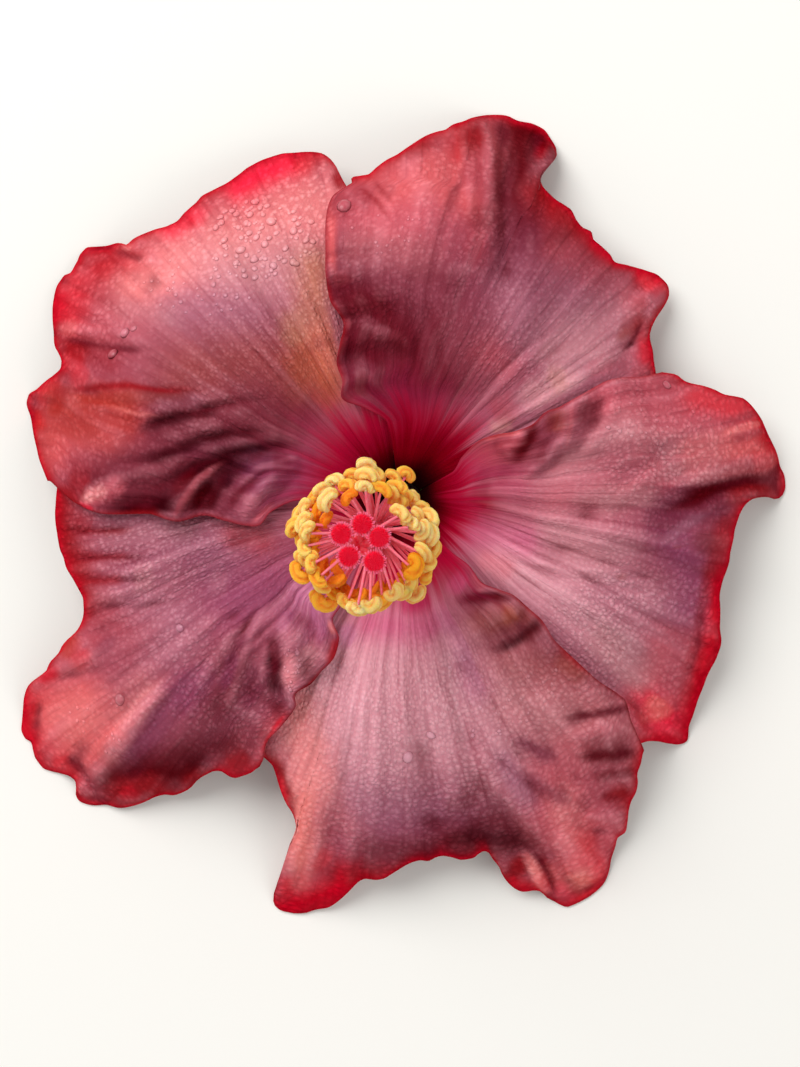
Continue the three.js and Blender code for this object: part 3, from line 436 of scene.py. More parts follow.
        ("rose", 0.4, 10, 650, 480, 678, 478), ("frost", 0.25, 14, 672, 464, 708, 458),
        ("rosewood", 0.35, 14, 650, 400, 674, 402), ("garnet", 0.45, 9, 535, 458, 548, 460),
        ("mauve", 0.45, 12, 608, 520, 650, 522), ("maroon", 0.55, 11, 700, 526, 706, 560),
        ("coral", 0.6, 12, 654, 696, 664, 726), ("mauve", 0.35, 14, 548, 482, 576, 480),
        ("garnet", 0.4, 8, 560, 410, 563, 432), ("plum", 0.4, 12, 640, 522, 672, 512),
        ("eye", 0.95, 14, 446, 492, 484, 504), ("maroon", 0.5, 10, 450, 496, 468, 502),
        ("garnet", 0.7, 10, 581, 396, 579, 430), ("garnet", 0.35, 10, 544, 436, 536, 468),
        ("flame", 0.5, 8, 744, 462, 772, 457), ("brown", 0.5, 5, 620, 572, 624, 582),
        ("brown", 0.35, 5, 675, 543, 676, 550),
    ],
    "petal_lower_right": [
        ("pebble", 0.95, 46, 512, 690, 576, 720), ("rose", 0.4, 40, 560, 760, 600, 830),
        ("frost", 0.99, 50, 368, 650, 370, 700, 376, 756), ("frost", 0.97, 38, 410, 640, 450, 700, 480, 750),
        ("grey_pink", 0.5, 26, 508, 690, 560, 720), ("slate", 0.35, 36, 380, 796, 440, 796),
        ("blossom", 0.5, 14, 318, 700, 320, 790), ("sand", 0.6, 14, 310, 690, 304, 740),
        ("blossom", 0.75, 20, 298, 704, 306, 780), ("frost", 0.45, 10, 332, 680, 334, 748),
        ("frost", 0.4, 14, 324, 640, 330, 680), ("blossom", 0.9, 18, 304, 786, 300, 840),
        ("coral", 0.8, 14, 298, 806, 298, 860), ("flame", 0.7, 9, 284, 872, 288, 900),
        ("brick", 0.92, 7, 268, 754, 280, 778, 290, 812), ("flame", 0.8, 6, 275, 774, 287, 808),
        ("rosewood", 0.6, 18, 330, 836, 348, 858), ("brick", 0.4, 14, 328, 870, 354, 858),
        ("brick", 0.85, 12, 322, 880, 352, 872, 384, 866), ("red", 0.99, 17, 282, 906, 318, 898, 352, 882),
        ("brick", 0.8, 9, 340, 880, 372, 868, 400, 864), ("slate", 0.5, 24, 356, 808, 430, 806),
        ("violet", 0.45, 20, 350, 838, 420, 830, 470, 816),
        ("dusk", 0.85, 16, 372, 852, 420, 848, 460, 840, 500, 834),
        ("maroon", 0.7, 20, 450, 842, 490, 830, 530, 838),
        ("oxblood", 0.7, 11, 440, 842, 480, 830, 516, 834, 546, 846),
        ("wine", 0.85, 8, 388, 866, 440, 853, 484, 848), ("brick", 0.95, 12, 506, 862, 522, 880),
        ("red", 0.7, 6, 506, 880, 532, 887), ("rose", 0.95, 28, 556, 790, 586, 862),
        ("blossom", 0.4, 16, 560, 800, 578, 850), ("flame", 0.6, 14, 590, 840, 584, 880),
        ("blossom", 0.4, 10, 546, 800, 566, 850), ("flame", 0.75, 10, 608, 850, 594, 884, 564, 902),
        ("coral", 0.9, 5, 521, 848, 534, 868, 545, 892), ("brick", 0.8, 5, 536, 848, 548, 872, 555, 896),
        ("salmon", 0.4, 12, 562, 850, 572, 884), ("flame", 0.3, 20, 574, 836, 588, 880),
        ("salmon", 0.55, 12, 538, 866, 572, 886), ("scarlet", 0.3, 8, 548, 888, 580, 894),
        ("rose", 0.7, 12, 600, 812, 616, 846), ("slate", 0.75, 10, 490, 740, 520, 790, 538, 820),
        ("mauve", 0.6, 18, 474, 736, 484, 784, 490, 808), ("rosewood", 0.4, 14, 566, 738, 598, 738),
        ("plum", 0.4, 12, 484, 788, 500, 812), ("plum", 0.75, 7, 506, 735, 530, 744, 556, 762),
        ("plum", 0.6, 7, 512, 768, 540, 784, 574, 804), ("brown", 0.35, 18, 512, 662, 562, 668),
        ("wine", 0.85, 4.5, 560, 717, 600, 711, 640, 704), ("maroon", 0.9, 6, 570, 755, 642, 750),
        ("maroon", 0.7, 5, 584, 775, 640, 767), ("brick", 0.8, 6, 596, 796, 630, 790),
        ("brick", 0.6, 10, 614, 776, 624, 812), ("brown", 0.9, 14, 482, 622, 524, 614),
        ("ochre", 0.4, 8, 500, 616, 518, 612), ("maroon", 0.9, 6, 454, 604, 480, 598, 516, 596),
        ("oxblood", 0.85, 5.5, 488, 654, 516, 640, 536, 624, 550, 610),
        ("maroon", 0.5, 6, 520, 644, 548, 622), ("brown", 0.85, 12, 548, 650, 592, 678),
        ("brick", 0.65, 5, 552, 640, 592, 674), ("hot_pink", 0.8, 20, 372, 624, 428, 630),
        ("magenta", 0.9, 11, 396, 606, 434, 602), ("lilac", 0.5, 15, 446, 624, 478, 684),
        ("lilac", 0.7, 12, 340, 620, 350, 650), ("frost", 0.5, 12, 434, 628, 456, 676),
        ("frost", 0.6, 16, 318, 650, 318, 724), ("blossom", 0.5, 12, 290, 700, 286, 730),
        ("frost", 0.35, 16, 400, 736, 440, 748), ("frost", 0.4, 8, 416, 742, 424, 756),
        ("garnet", 0.5, 13, 452, 790, 472, 806), ("garnet", 0.4, 11, 474, 766, 486, 796),
        ("garnet", 0.55, 13, 574, 738, 632, 752), ("garnet", 0.4, 10, 572, 796, 590, 806),
        ("coral", 0.75, 12, 574, 866, 586, 892), ("rose", 0.45, 10, 556, 854, 566, 866),
        ("flame", 0.55, 9, 532, 872, 550, 892), ("rose", 0.6, 14, 536, 812, 548, 830),
        ("rose", 0.5, 10, 472, 574, 490, 588), ("flame", 0.45, 12, 312, 856, 330, 866),
        ("blossom", 0.7, 14, 306, 706, 300, 740), ("frost", 0.5, 14, 326, 668, 322, 700),
        ("pebble", 0.45, 16, 334, 812, 350, 830), ("brick", 0.85, 9, 513, 852, 525, 870),
        ("salmon", 0.6, 10, 298, 868, 302, 892), ("hot_pink", 0.7, 10, 450, 578, 468, 590),
    ],
    "petal_lower_left": [
        ("slate", 0.85, 34, 130, 548, 204, 556), ("plum", 0.25, 36, 120, 550, 200, 556),
        ("mauve", 0.6, 30, 116, 560, 160, 590), ("lavender", 0.6, 24, 130, 600, 180, 612),
        ("grey_pink", 0.25, 14, 110, 534, 180, 530), ("lavender", 0.6, 26, 140, 622, 176, 640),
        ("violet", 0.65, 36, 236, 596, 290, 586), ("rosewood", 0.75, 12, 214, 534, 282, 542),
        ("brick", 0.93, 19, 56, 500, 62, 540, 80, 582), ("brick", 0.75, 5, 60, 531, 100, 531, 136, 530),
        ("brick", 0.75, 5, 68, 559, 136, 558), ("brick", 0.75, 5, 80, 581, 128, 580),
        ("brick", 0.85, 12, 82, 586, 84, 622), ("rosewood", 0.7, 22, 102, 620, 132, 642),
        ("rosewood", 0.6, 12, 84, 640, 108, 650), ("lavender", 0.6, 13, 140, 570, 186, 572),
        ("plum", 0.5, 9, 240, 632, 252, 660), ("mauve", 0.45, 16, 112, 650, 150, 636),
        ("lavender", 0.35, 14, 150, 656, 176, 640), ("garnet", 0.45, 10, 206, 521, 232, 521),
        ("garnet", 0.4, 10, 226, 540, 254, 543), ("rose", 0.4, 7, 228, 523, 250, 524),
        ("plum", 0.5, 10, 238, 630, 244, 650), ("brick", 0.5, 10, 70, 516, 94, 524),
        ("lavender", 0.5, 12, 206, 580, 232, 582), ("grey_pink", 0.4, 12, 128, 580, 156, 581),
        ("rust", 0.7, 9, 78, 634, 60, 660), ("flame", 0.6, 9, 92, 650, 72, 668),
        ("brick", 0.4, 10, 86, 652, 70, 668), ("plum", 0.4, 12, 98, 642, 118, 652),
        ("salmon", 0.97, 26, 52, 712, 84, 700, 76, 738), ("flame", 0.4, 14, 42, 700, 44, 742),
        ("salmon", 0.8, 16, 96, 744, 122, 720), ("red", 0.97, 11, 28, 684, 28, 724, 40, 758),
        ("red", 0.85, 7, 34, 681, 64, 671), ("flame", 0.75, 10, 50, 764, 74, 758),
        ("brick", 0.7, 5, 62, 758, 82, 772), ("pebble", 0.7, 9, 88, 786, 112, 752, 150, 700, 196, 656),
        ("rose", 0.6, 12, 76, 792, 92, 782), ("blossom", 0.45, 16, 126, 712, 148, 692),
        ("blossom", 0.3, 20, 64, 722, 90, 716), ("salmon", 0.35, 10, 112, 746, 130, 724),
        ("violet", 0.65, 14, 138, 750, 160, 716, 184, 678), ("violet", 0.5, 13, 176, 716, 218, 656),
        ("dusk", 0.75, 13, 204, 726, 230, 690, 246, 636), ("violet", 0.5, 6, 224, 692, 238, 646),
        ("plum", 0.8, 9, 250, 712, 258, 656), ("garnet", 0.8, 16, 150, 758, 190, 748, 236, 742),
        ("oxblood", 0.55, 9, 180, 762, 214, 758), ("maroon", 0.92, 14, 110, 778, 150, 770, 192, 768),
        ("brick", 0.95, 12, 94, 794, 130, 790, 178, 780), ("brick", 0.7, 8, 176, 780, 220, 770),
        ("red", 0.5, 7, 118, 798, 142, 790), ("brick", 0.75, 10, 226, 764, 254, 752),
        ("oxblood", 0.88, 8, 276, 698, 278, 668, 272, 644), ("pebble", 0.75, 6.5, 293, 692, 290, 646),
        ("violet", 0.6, 8, 284, 636, 290, 606), ("lavender", 0.4, 7, 298, 650, 304, 624),
        ("mauve", 0.7, 7, 314, 640, 317, 668), ("maroon", 0.9, 4, 292, 698, 306, 688, 322, 674),
        ("brick", 0.9, 4, 328, 668, 334, 650, 340, 634), ("coral", 0.7, 3, 328, 620, 336, 636),
        ("lilac", 0.7, 14, 306, 594, 318, 624), ("grey_pink", 0.5, 11, 314, 640, 304, 684),
        ("rosewood", 0.85, 11, 260, 742, 292, 700), ("red", 0.8, 2.5, 262, 752, 276, 726, 291, 706),
    ],
}

# Ridges and creases on each petal: height in millimetres, half-width, then their line, as for the marks.
CREASES = {
    "petal_upper_left": [
        (-0.8, 5, 58, 345, 85, 343, 120, 351, 165, 352), (0.5, 6, 56, 331, 90, 331, 134, 338),
        (-0.8, 6, 116, 248, 130, 256, 150, 260), (0.8, 8, 82, 262, 116, 255),
        (-0.7, 5, 58, 398, 110, 389, 150, 390, 204, 394), (0.7, 6, 88, 404, 130, 414, 172, 420),
        (-1.3, 6, 134, 436, 160, 424, 190, 416, 225, 406, 272, 398),
        (0.3, 6, 138, 447, 170, 437, 205, 429, 244, 420),
        (-1.3, 7, 118, 458, 165, 453, 205, 441, 235, 434, 278, 432),
        (0.45, 6, 146, 466, 200, 453, 240, 445, 294, 440),
        (-1.6, 7, 128, 502, 165, 485, 200, 467, 240, 453, 302, 444),
        (0.8, 3.5, 172, 526, 184, 504, 200, 480, 232, 456),
        (-1.6, 7, 194, 518, 205, 494, 226, 474, 262, 457, 302, 450),
        (1, 5, 226, 514, 240, 488, 262, 466, 302, 456), (-1.1, 4, 222, 516, 240, 490, 264, 473),
        (1.7, 9, 240, 524, 252, 500, 274, 474, 302, 462), (-1, 5, 262, 520, 276, 496, 298, 474),
        (1.3, 9, 80, 503, 96, 490, 125, 478, 172, 467), (-1.6, 8, 98, 516, 130, 506, 172, 500),
        (-0.9, 6, 56, 482, 90, 474, 130, 462, 184, 451), (-0.5, 5, 300, 160, 292, 152),
        (-0.5, 6, 140, 244, 150, 258), (0.5, 7, 190, 224, 200, 240),
    ],
    "petal_top": [
        (0.9, 8, 488, 118, 487, 180, 488, 262), (-0.8, 10, 505, 122, 505, 180, 506, 300),
        (0.6, 5, 462, 126, 466, 180, 472, 240), (-0.5, 4, 453, 128, 456, 182), (-0.5, 4, 476, 122, 478, 200),
        (0.8, 8, 530, 180, 528, 264), (1.2, 6, 548, 134, 552, 162), (-0.7, 6, 536, 126, 533, 168),
        (-0.9, 9, 336, 303, 370, 304, 404, 320), (0.7, 7, 340, 322, 372, 327, 400, 339, 424, 364),
        (-1.1, 9, 336, 345, 370, 346, 396, 358, 414, 384), (0.65, 7, 340, 366, 366, 375, 390, 398, 408, 424),
        (-0.8, 6, 343, 384, 372, 398, 394, 422), (0.6, 6, 346, 394, 366, 405, 386, 426),
        (0.9, 10, 334, 276, 370, 281, 414, 292), (-0.6, 4, 354, 188, 376, 204, 394, 228),
        (0.5, 4, 343, 192, 372, 218), (-0.5, 4, 370, 182, 392, 206), (-0.5, 4, 384, 174, 400, 208),
        (0.5, 5, 602, 330, 530, 392, 480, 430), (-0.5, 5, 612, 345, 560, 385, 510, 414),
        (-0.5, 5, 590, 320, 520, 380, 470, 420), (-0.4, 4, 560, 320, 500, 370, 450, 420),
        (-1.3, 5, 620, 354, 636, 338, 647, 316), (1.4, 6, 646, 322, 650, 372),
        (0.9, 7, 636, 268, 664, 284, 668, 298),
    ],
    "petal_right": [
        (-1.5, 8, 646, 518, 676, 507, 704, 492, 740, 479, 784, 476),
        (1, 8, 656, 494, 700, 474, 740, 462, 780, 460), (0.8, 7, 688, 516, 720, 501, 762, 491),
        (1.6, 9, 498, 454, 520, 441, 529, 431), (-1.1, 7, 542, 398, 534, 440, 518, 462, 490, 490),
        (1.5, 6, 565, 403, 562, 440, 548, 458, 518, 482), (-0.35, 7, 590, 384, 582, 430, 566, 452, 532, 480),
        (0.8, 8, 612, 391, 604, 430, 578, 462), (-0.4, 6, 586, 503, 630, 466, 680, 436, 726, 424),
        (0.5, 6, 598, 513, 650, 474, 702, 450), (-0.4, 4, 714, 425, 760, 408), (-0.5, 4, 720, 445, 770, 434),
        (0.4, 4, 718, 435, 766, 421), (-0.4, 4, 724, 457, 774, 448),
        (-0.35, 5, 480, 540, 560, 548, 640, 552, 704, 545), (0.5, 5, 500, 556, 580, 570, 664, 570),
        (-0.35, 5, 480, 548, 560, 578, 640, 590, 704, 596), (-0.5, 5, 500, 566, 560, 597, 624, 642),
        (0.7, 8, 478, 555, 540, 588, 604, 634), (-0.4, 4, 556, 558, 640, 612, 694, 640),
        (0.4, 4, 600, 600, 684, 642), (1, 7, 717, 600, 715, 650, 700, 682),
        (-0.7, 6, 704, 596, 700, 650, 684, 694), (1, 8, 648, 698, 669, 730),
        (-0.5, 6, 628, 696, 650, 724, 664, 744), (-0.6, 5, 676, 698, 685, 738),
    ],
    "petal_lower_right": [
        (1.8, 13, 478, 614, 526, 610), (-0.9, 5, 450, 605, 480, 599, 518, 601),
        (1, 4, 468, 592, 500, 590, 522, 597), (-1, 7, 484, 653, 514, 640, 534, 625, 548, 611),
        (-1, 5, 556, 718, 600, 711, 640, 704), (0.7, 7, 560, 733, 636, 727),
        (-1.2, 6, 560, 756, 610, 751, 644, 752), (0.8, 6, 588, 775, 632, 773), (-1, 5, 590, 793, 630, 796),
        (0.7, 6, 578, 814, 624, 815), (-0.5, 4, 588, 828, 620, 833),
        (-0.9, 6, 494, 714, 520, 735, 552, 756, 594, 792), (0.6, 6, 498, 748, 540, 779, 574, 814),
        (-0.8, 6, 478, 738, 520, 776, 564, 808), (0.6, 7, 468, 758, 510, 800, 552, 852),
        (-1.2, 13, 396, 828, 450, 820, 500, 818, 546, 840), (0.5, 6, 428, 851, 482, 842),
        (1.4, 5, 519, 842, 534, 868, 549, 898), (-1.1, 5, 531, 844, 546, 870, 557, 898),
        (0.9, 9, 554, 822, 582, 884), (-0.7, 6, 502, 866, 520, 881), (1.1, 9, 302, 768, 300, 830, 285, 892),
        (-1.1, 7, 270, 760, 288, 800, 297, 828), (-0.3, 8, 310, 862, 344, 882),
        (0.6, 6, 320, 798, 316, 850, 299, 892), (0.35, 5, 372, 636, 340, 740, 330, 804),
        (-0.35, 5, 384, 636, 370, 740, 364, 804), (0.35, 5, 400, 636, 404, 770),
        (-0.35, 5, 412, 634, 440, 720, 458, 784), (0.4, 5, 422, 632, 460, 700, 492, 774),
        (-0.4, 5, 434, 632, 480, 690, 524, 744), (0.4, 5, 446, 634, 500, 680, 564, 722),
    ],
    "petal_lower_left": [
        (0.8, 10, 84, 792, 120, 742, 160, 690, 200, 650, 244, 610),
        (-1.2, 9, 128, 764, 160, 710, 176, 680, 210, 640, 254, 598),
        (0.7, 6, 178, 744, 196, 700, 214, 660, 254, 608), (-1, 6, 204, 740, 226, 690, 240, 640, 264, 598),
        (0.7, 5, 224, 724, 240, 676, 252, 632, 272, 598), (-0.9, 6, 248, 716, 256, 670, 266, 626),
        (0.5, 4, 262, 692, 268, 638), (-0.9, 6, 272, 704, 276, 660, 272, 616),
        (1.2, 8, 291, 694, 290, 650, 283, 606), (-0.5, 4, 306, 682, 302, 638),
        (0.9, 6, 323, 662, 322, 620, 311, 588), (-0.7, 4, 53, 530, 80, 532, 134, 528),
        (-0.8, 4, 60, 560, 100, 559, 156, 558), (-0.8, 4, 72, 582, 110, 580, 156, 582),
        (0.35, 5, 56, 545, 110, 545, 164, 542), (0.35, 5, 66, 570, 120, 570, 174, 568),
        (0.3, 5, 82, 593, 134, 594), (-0.5, 4, 82, 604, 130, 608, 184, 600),
        (-1, 12, 106, 780, 150, 765, 190, 757, 240, 748), (-0.9, 6, 64, 754, 84, 772, 97, 794),
        (0.8, 5, 75, 776, 92, 800), (-0.7, 6, 42, 679, 80, 674, 114, 663), (0.9, 7, 28, 690, 26, 730),
        (-0.6, 5, 41, 698, 35, 732), (0.8, 8, 198, 772, 234, 761), (-0.6, 4, 260, 748, 286, 710),
        (0.4, 5, 100, 660, 150, 636, 210, 600), (-0.4, 5, 104, 690, 150, 656, 204, 616),
    ],
}

# ---- numbers -----------------------------------------------------------------------------------


def through(points, x):
    """Heights of a smooth curve at x through points of rising x: it never overshoots its points."""
    px, py = np.array(points, float)[:, :2].T
    step = np.diff(px)
    slope = np.diff(py) / step
    tangent = np.zeros(len(px))
    before, after = slope[:-1], slope[1:]
    same = before * after > 0
    tangent[1:-1][same] = (2 * before * after / np.where(same, before + after, 1))[same]
    tangent[0], tangent[-1] = slope[0], slope[-1]
    at = np.clip(x, px[0], px[-1])
    i = np.clip(np.searchsorted(px, at, side="right") - 1, 0, len(px) - 2)
    t = (at - px[i]) / step[i]
    start = (1 + 2 * t) * (1 - t) ** 2 * py[i] + t * (1 - t) ** 2 * step[i] * tangent[i]
    end = t * t * (3 - 2 * t) * py[i + 1] - t * t * (1 - t) * step[i] * tangent[i + 1]
    return start + end


def smoothstep(x, low, high):
    t = np.clip((x - low) / (high - low), 0, 1)
    return t * t * (3 - 2 * t)


def lerp(a, b, t):
    return a + (b - a) * t


def polar(radius, azimuth, height=0.0):
    a = np.radians(azimuth)
    return np.stack(np.broadcast_arrays(radius * np.cos(a), radius * np.sin(a), height), axis=-1)


NOISE_SIZE = 256


def noise(x, y, seed):
    """Smooth random heights from -1 to 1 over a plane, with one bump to each unit square."""
    table = np.random.default_rng(seed).uniform(-1, 1, (NOISE_SIZE, NOISE_SIZE))
    x, y = np.broadcast_arrays(np.asarray(x, float), np.asarray(y, float))
    i, j = np.floor(x).astype(int), np.floor(y).astype(int)
    u, v = x - i, y - j
    u, v = u * u * (3 - 2 * u), v * v * (3 - 2 * v)

    def corner(a, b):
        return table[(i + a) % NOISE_SIZE, (j + b) % NOISE_SIZE]

    return lerp(lerp(corner(0, 0), corner(1, 0), u), lerp(corner(0, 1), corner(1, 1), u), v)


def layered_noise(x, y, seed, layers=3):
    """Noise with finer and fainter layers added to it."""
    total = sum(noise(x * 2 ** k, y * 2 ** k, seed + k) / 2 ** k for k in range(layers))
    return total / (2 - 2 ** (1 - layers))


def line_weight(places, line, half_width, taper=0.3, sharpness=1):
    """How strongly a soft line marks each place, from 0 to 1. taper is the share that thins at each end."""
    corners = np.reshape(line, (-1, 2)).astype(float)
    lengths = np.linalg.norm(np.diff(corners, axis=0), axis=1)
    passed = 0
    nearest = np.full(places.shape[:-1], np.inf)
    share = np.zeros(places.shape[:-1])
    for a, b, length in zip(corners[:-1], corners[1:], lengths):
        along = np.clip(((places - a) @ (b - a)) / length ** 2, 0, 1)
        away = ((places - a - along[..., None] * (b - a)) ** 2).sum(-1)
        share = np.where(away < nearest, (passed + along * length) / lengths.sum(), share)
        nearest = np.minimum(nearest, away)
        passed += length
    if not taper:
        return np.exp(-(nearest / half_width ** 2) ** sharpness)
    fullness = smoothstep(np.minimum(share, 1 - share), -0.1 * taper, taper)
    return fullness * np.exp(-(nearest / (half_width * lerp(0.5, 1, fullness)) ** 2) ** sharpness)


# ---- petal surface -----------------------------------------------------------------------------

_edge = [(a + turn, r, z) for turn in (-360, 0, 360) for a, r, z in LIMB_EDGE]
EDGE_RADII = [(a, r) for a, r, _ in _edge]
EDGE_HEIGHTS = [(a, z) for a, _, z in _edge]


def limb_height(radius, azimuth):
    """The smooth bloom: up the throat to its crest, then down to the limb's edge."""
    reach = through(EDGE_RADII, azimuth) - CREST_RADIUS
    fall = CREST_HEIGHT - through(EDGE_HEIGHTS, azimuth)
    return through(THROAT, radius) - fall * (np.maximum(radius - CREST_RADIUS, 0) / reach) ** LIMB_SAG_POWER


def outline_rim(petal):
    """A petal's rim, as azimuths and radii, from its outline in the picture."""
    x, y = np.reshape(OUTLINES[petal["name"]], (-1, 2)).T
    height = 0
    for _ in range(RIM_PASSES):
        depth = (CAMERA_HEIGHT - height) / PIXELS_PER_SLOPE
        right = (x - PICTURE_WIDTH / 2) * depth + CAMERA_PLACE[0]
        up = (PICTURE_HEIGHT / 2 - y) * depth + CAMERA_PLACE[1]
        azimuth = petal["middle"] + (np.degrees(np.arctan2(up, right)) - petal["middle"] + 180) % 360 - 180
        radius = np.hypot(right, up)
        height = np.maximum(limb_height(radius, azimuth), 0)
    azimuth = np.maximum.accumulate(azimuth) + 0.01 * np.arange(len(azimuth))
    return list(zip(azimuth, radius))


def petal_plan(petal, along, across):
    """Radius and azimuth of places on a petal: along it from claw to rim, across it from under to over."""
    under, over, rim, middle = (petal[k] for k in ("under", "over", "rim", "middle"))
    rim_radius = through(rim, lerp(under[-1][1], over[-1][1], across))
    broad = np.interp(across, np.linspace(0, 1, len(petal["broad_rim"])), petal["broad_rim"])
    radius = lerp(CLAW_RADIUS, broad, along) + along ** RIM_POWER * (rim_radius - broad)
    claw = (CLAW_RADIUS, middle + CLAW_HALF_ANGLE)
    start = through([(CLAW_RADIUS, middle - CLAW_HALF_ANGLE), *under], radius)
    straight = through([claw, over[0], over[-1]], radius)
    wavy = through([claw, *over], radius)
    return radius, lerp(start, straight, across) + (wavy - straight) * across ** EDGE_POWER


def overlap(radius):
    """How fully two petals lie in layers at a radius, from 0 to 1."""
    return smoothstep(radius, *OVERLAP_START) * (1 - smoothstep(radius, *OVERLAP_END))


def fold_height(petal, radius, azimuth, across):
    """The folds listed for a petal and the ruffle of its over edge."""
    place = polar(radius, azimuth)[..., :2]
    under = overlap(radius) * (1 - smoothstep(across, *FOLD_UNDER))
    over = overlap(radius) * smoothstep(across, *FOLD_OVER)
    height = 0
    for a0, r0, a1, r1, half_width, rise in petal["folds"]:
        keep = 1 - under if rise > 0 else 1 - over
        line = [polar(r0, a0)[:2], polar(r1, a1)[:2]]
        height = height + keep * rise * line_weight(place, line, half_width, taper=0)
    first, last, lobes, lift = petal["ruffle"]
    share = np.clip((radius - first) / (last - first), 0, 1)
    return height + lift * across ** RUFFLE_POWER * np.sin(np.pi * lobes * share) ** 2


def fine_relief(petal, radius, azimuth, along, across):
    """Pleats that fan out from the claw, small wrinkles and the waved margin."""
    seed = petal["seed"]
    pleats = PLEATS[0] * layered_noise(across * 17, radius / 60, seed)
    pleats = pleats + PLEATS[1] * noise(across * 46, radius / 34, seed + 9)
    beside = 1 - smoothstep(np.minimum(across, 1 - across), 0.1, 0.26)
    pleats = pleats * (1 - 0.6 * overlap(radius) * beside)
    wrinkles = WRINKLES * layered_noise(radius / 5, np.radians(azimuth) * radius / 5, seed + 20)
    frill = FRILLS[0] * noise(across * 22, along * 6, seed + 30)
    frill = frill + FRILLS[1] * noise(across * 52, along * 9, seed + 31)
    frill = smoothstep(along, 0.86, 1) * frill
    frill = frill - ROLL * smoothstep(along, 0.965, 1)
    side = smoothstep(across, 0.93, 1) * smoothstep(radius, 16, 26) * SIDE_FRILL
    side = np.abs(side * noise(radius / 3.2, across * 3, seed + 40))
    return smoothstep(radius, 10, 26) * (pleats + wrinkles) + frill * (1 - overlap(radius) * 0.6) + side


def crease_height(petal, places, radius, across):
    """The ridges and creases listed for a petal. None presses into the petal next to it."""
    under = overlap(radius) * (1 - smoothstep(across, *CREASE_UNDER))
    over = overlap(radius) * smoothstep(across, *CREASE_OVER)
    height = 0
    for rise, half_width, *line in CREASES[petal["name"]]:
        keep = 1 - 0.8 * under if rise > 0 else 1 - 0.7 * over
        height = height + keep * rise * line_weight(places, line, half_width)
    return height


def petal_points(petal, along, across):
    """A petal's middle surface, where the camera sees it, and its height above a smooth limb."""
    radius, azimuth = petal_plan(petal, along, across)
    limb = limb_height(radius, azimuth)
    height = limb + fold_height(petal, radius, azimuth, across)
    places = seen(polar(radius, azimuth, height))
    hook = np.zeros_like(places)
    for x, y, half_width, right, down in HOOKS.get(petal["name"], ()):
        hook = hook + line_weight(places, (x, y, x, y + 1), half_width, taper=0)[..., None] * (right, down)
    places = places + hook
    height = height + fine_relief(petal, radius, azimuth, along, across)
    height = height + crease_height(petal, places, radius, across)
    lift = np.logaddexp(0, (height - FLOOR_CLEARANCE) / FLOOR_SOFTNESS) * FLOOR_SOFTNESS
    height = FLOOR_CLEARANCE + lift
    slope = (limb_height(radius + 0.1, azimuth) - limb_height(radius - 0.1, azimuth)) / 0.2
    layer = overlap(radius) * LAYER_OFFSET * (2 * smoothstep(across, *LAYER_TURN) - 1)
    tilt = np.hypot(1, slope)
    points = polar(radius - layer * slope / tilt, azimuth, height + layer / tilt)
    points[..., :2] += hook * (1, -1) * (CAMERA_HEIGHT / PIXELS_PER_SLOPE)
    return points, places, height - limb


def petal_columns(petal):
    """Values of across for the grid's columns, spaced evenly along the rim."""
    across = np.linspace(0, 1, COLUMN_SAMPLES)
    radius, azimuth = petal_plan(petal, 1, across)
    step = np.hypot(np.radians(np.diff(azimuth)) * radius[1:], COLUMN_LOBE_SHARE * np.diff(radius))
    length = np.concatenate([[0], np.cumsum(step)])
    return np.interp(np.linspace(0, length[-1], GRID_COLUMNS + 1), length, across)


# ---- mesh building -----------------------------------------------------------------------------


def mesh_object(name, vertices, faces):
    """A mesh object from points in millimetres about the flower's axis, and quads or triangles."""
    mesh = bpy.data.meshes.new(name)
    mesh.from_pydata((np.asarray(vertices) * MM + np.array(AXIS)).tolist(), [], faces)
    mesh.validate()
    mesh.shade_smooth()
    thing = bpy.data.objects.new(name, mesh)
    bpy.context.scene.collection.objects.link(thing)
    return thing


def set_attribute(thing, name, kind, values):
    field = {"FLOAT": "value", "FLOAT_VECTOR": "vector", "FLOAT_COLOR": "color"}[kind]
    layer = thing.data.attributes.new(name, kind, "POINT")
    layer.data.foreach_set(field, np.ascontiguousarray(values, np.float32).ravel())


def set_tint(thing, tints):
    """The colour of each point, which the piece's material reads."""
    set_attribute(thing, "tint", "FLOAT_COLOR", np.concatenate([tints, np.ones((len(tints), 1))], 1))


def sheet_faces(columns, rows):
    """Quads of a closed sheet: its face, its back and the walls round its four edges."""
    count = (columns + 1) * (rows + 1)
    at = np.arange(count).reshape(columns + 1, rows + 1)
    a, b, c, d = at[:-1, :-1], at[1:, :-1], at[1:, 1:], at[:-1, 1:]
    face = np.stack([a, d, c, b], -1).reshape(-1, 4)
    back = np.stack([a, b, c, d], -1).reshape(-1, 4) + count
    loop = np.concatenate([at[:, 0], at[-1, 1:], at[-2::-1, -1], at[0, -2:0:-1]])
    after = np.roll(loop, -1)
    walls = np.stack([loop, after, after + count, loop + count], -1)
    return np.concatenate([face, back, walls])


# ---- petals ------------------------------------------------------------------------------------


def blurred(values, reach):
    """Values on a grid, averaged twice with their neighbours along both ways."""
    for axis in (0, 1, 0, 1):
        last = values.shape[axis] - 1
        steps = np.arange(last + 1)
        total = sum(np.take(values, np.clip(steps + k, 0, last), axis) for k in range(-reach, reach + 1))
        values = total / (2 * reach + 1)
    return values


BROAD_MARK = 14  # marks this wide, in pixels, keep their ends and follow the streaks in full
SOFT_MARK, SHARP_MARK = 1, 1.4  # how steeply a broad mark and a narrow one end at their sides
MARK_TAPER = 0.3  # the share of a narrow mark that thins at each end
STREAK_SHIFT = 5  # pixels that streaks move a broad mark by
RAGGEDNESS = 2.5  # pixels that a broad mark's edge wanders by


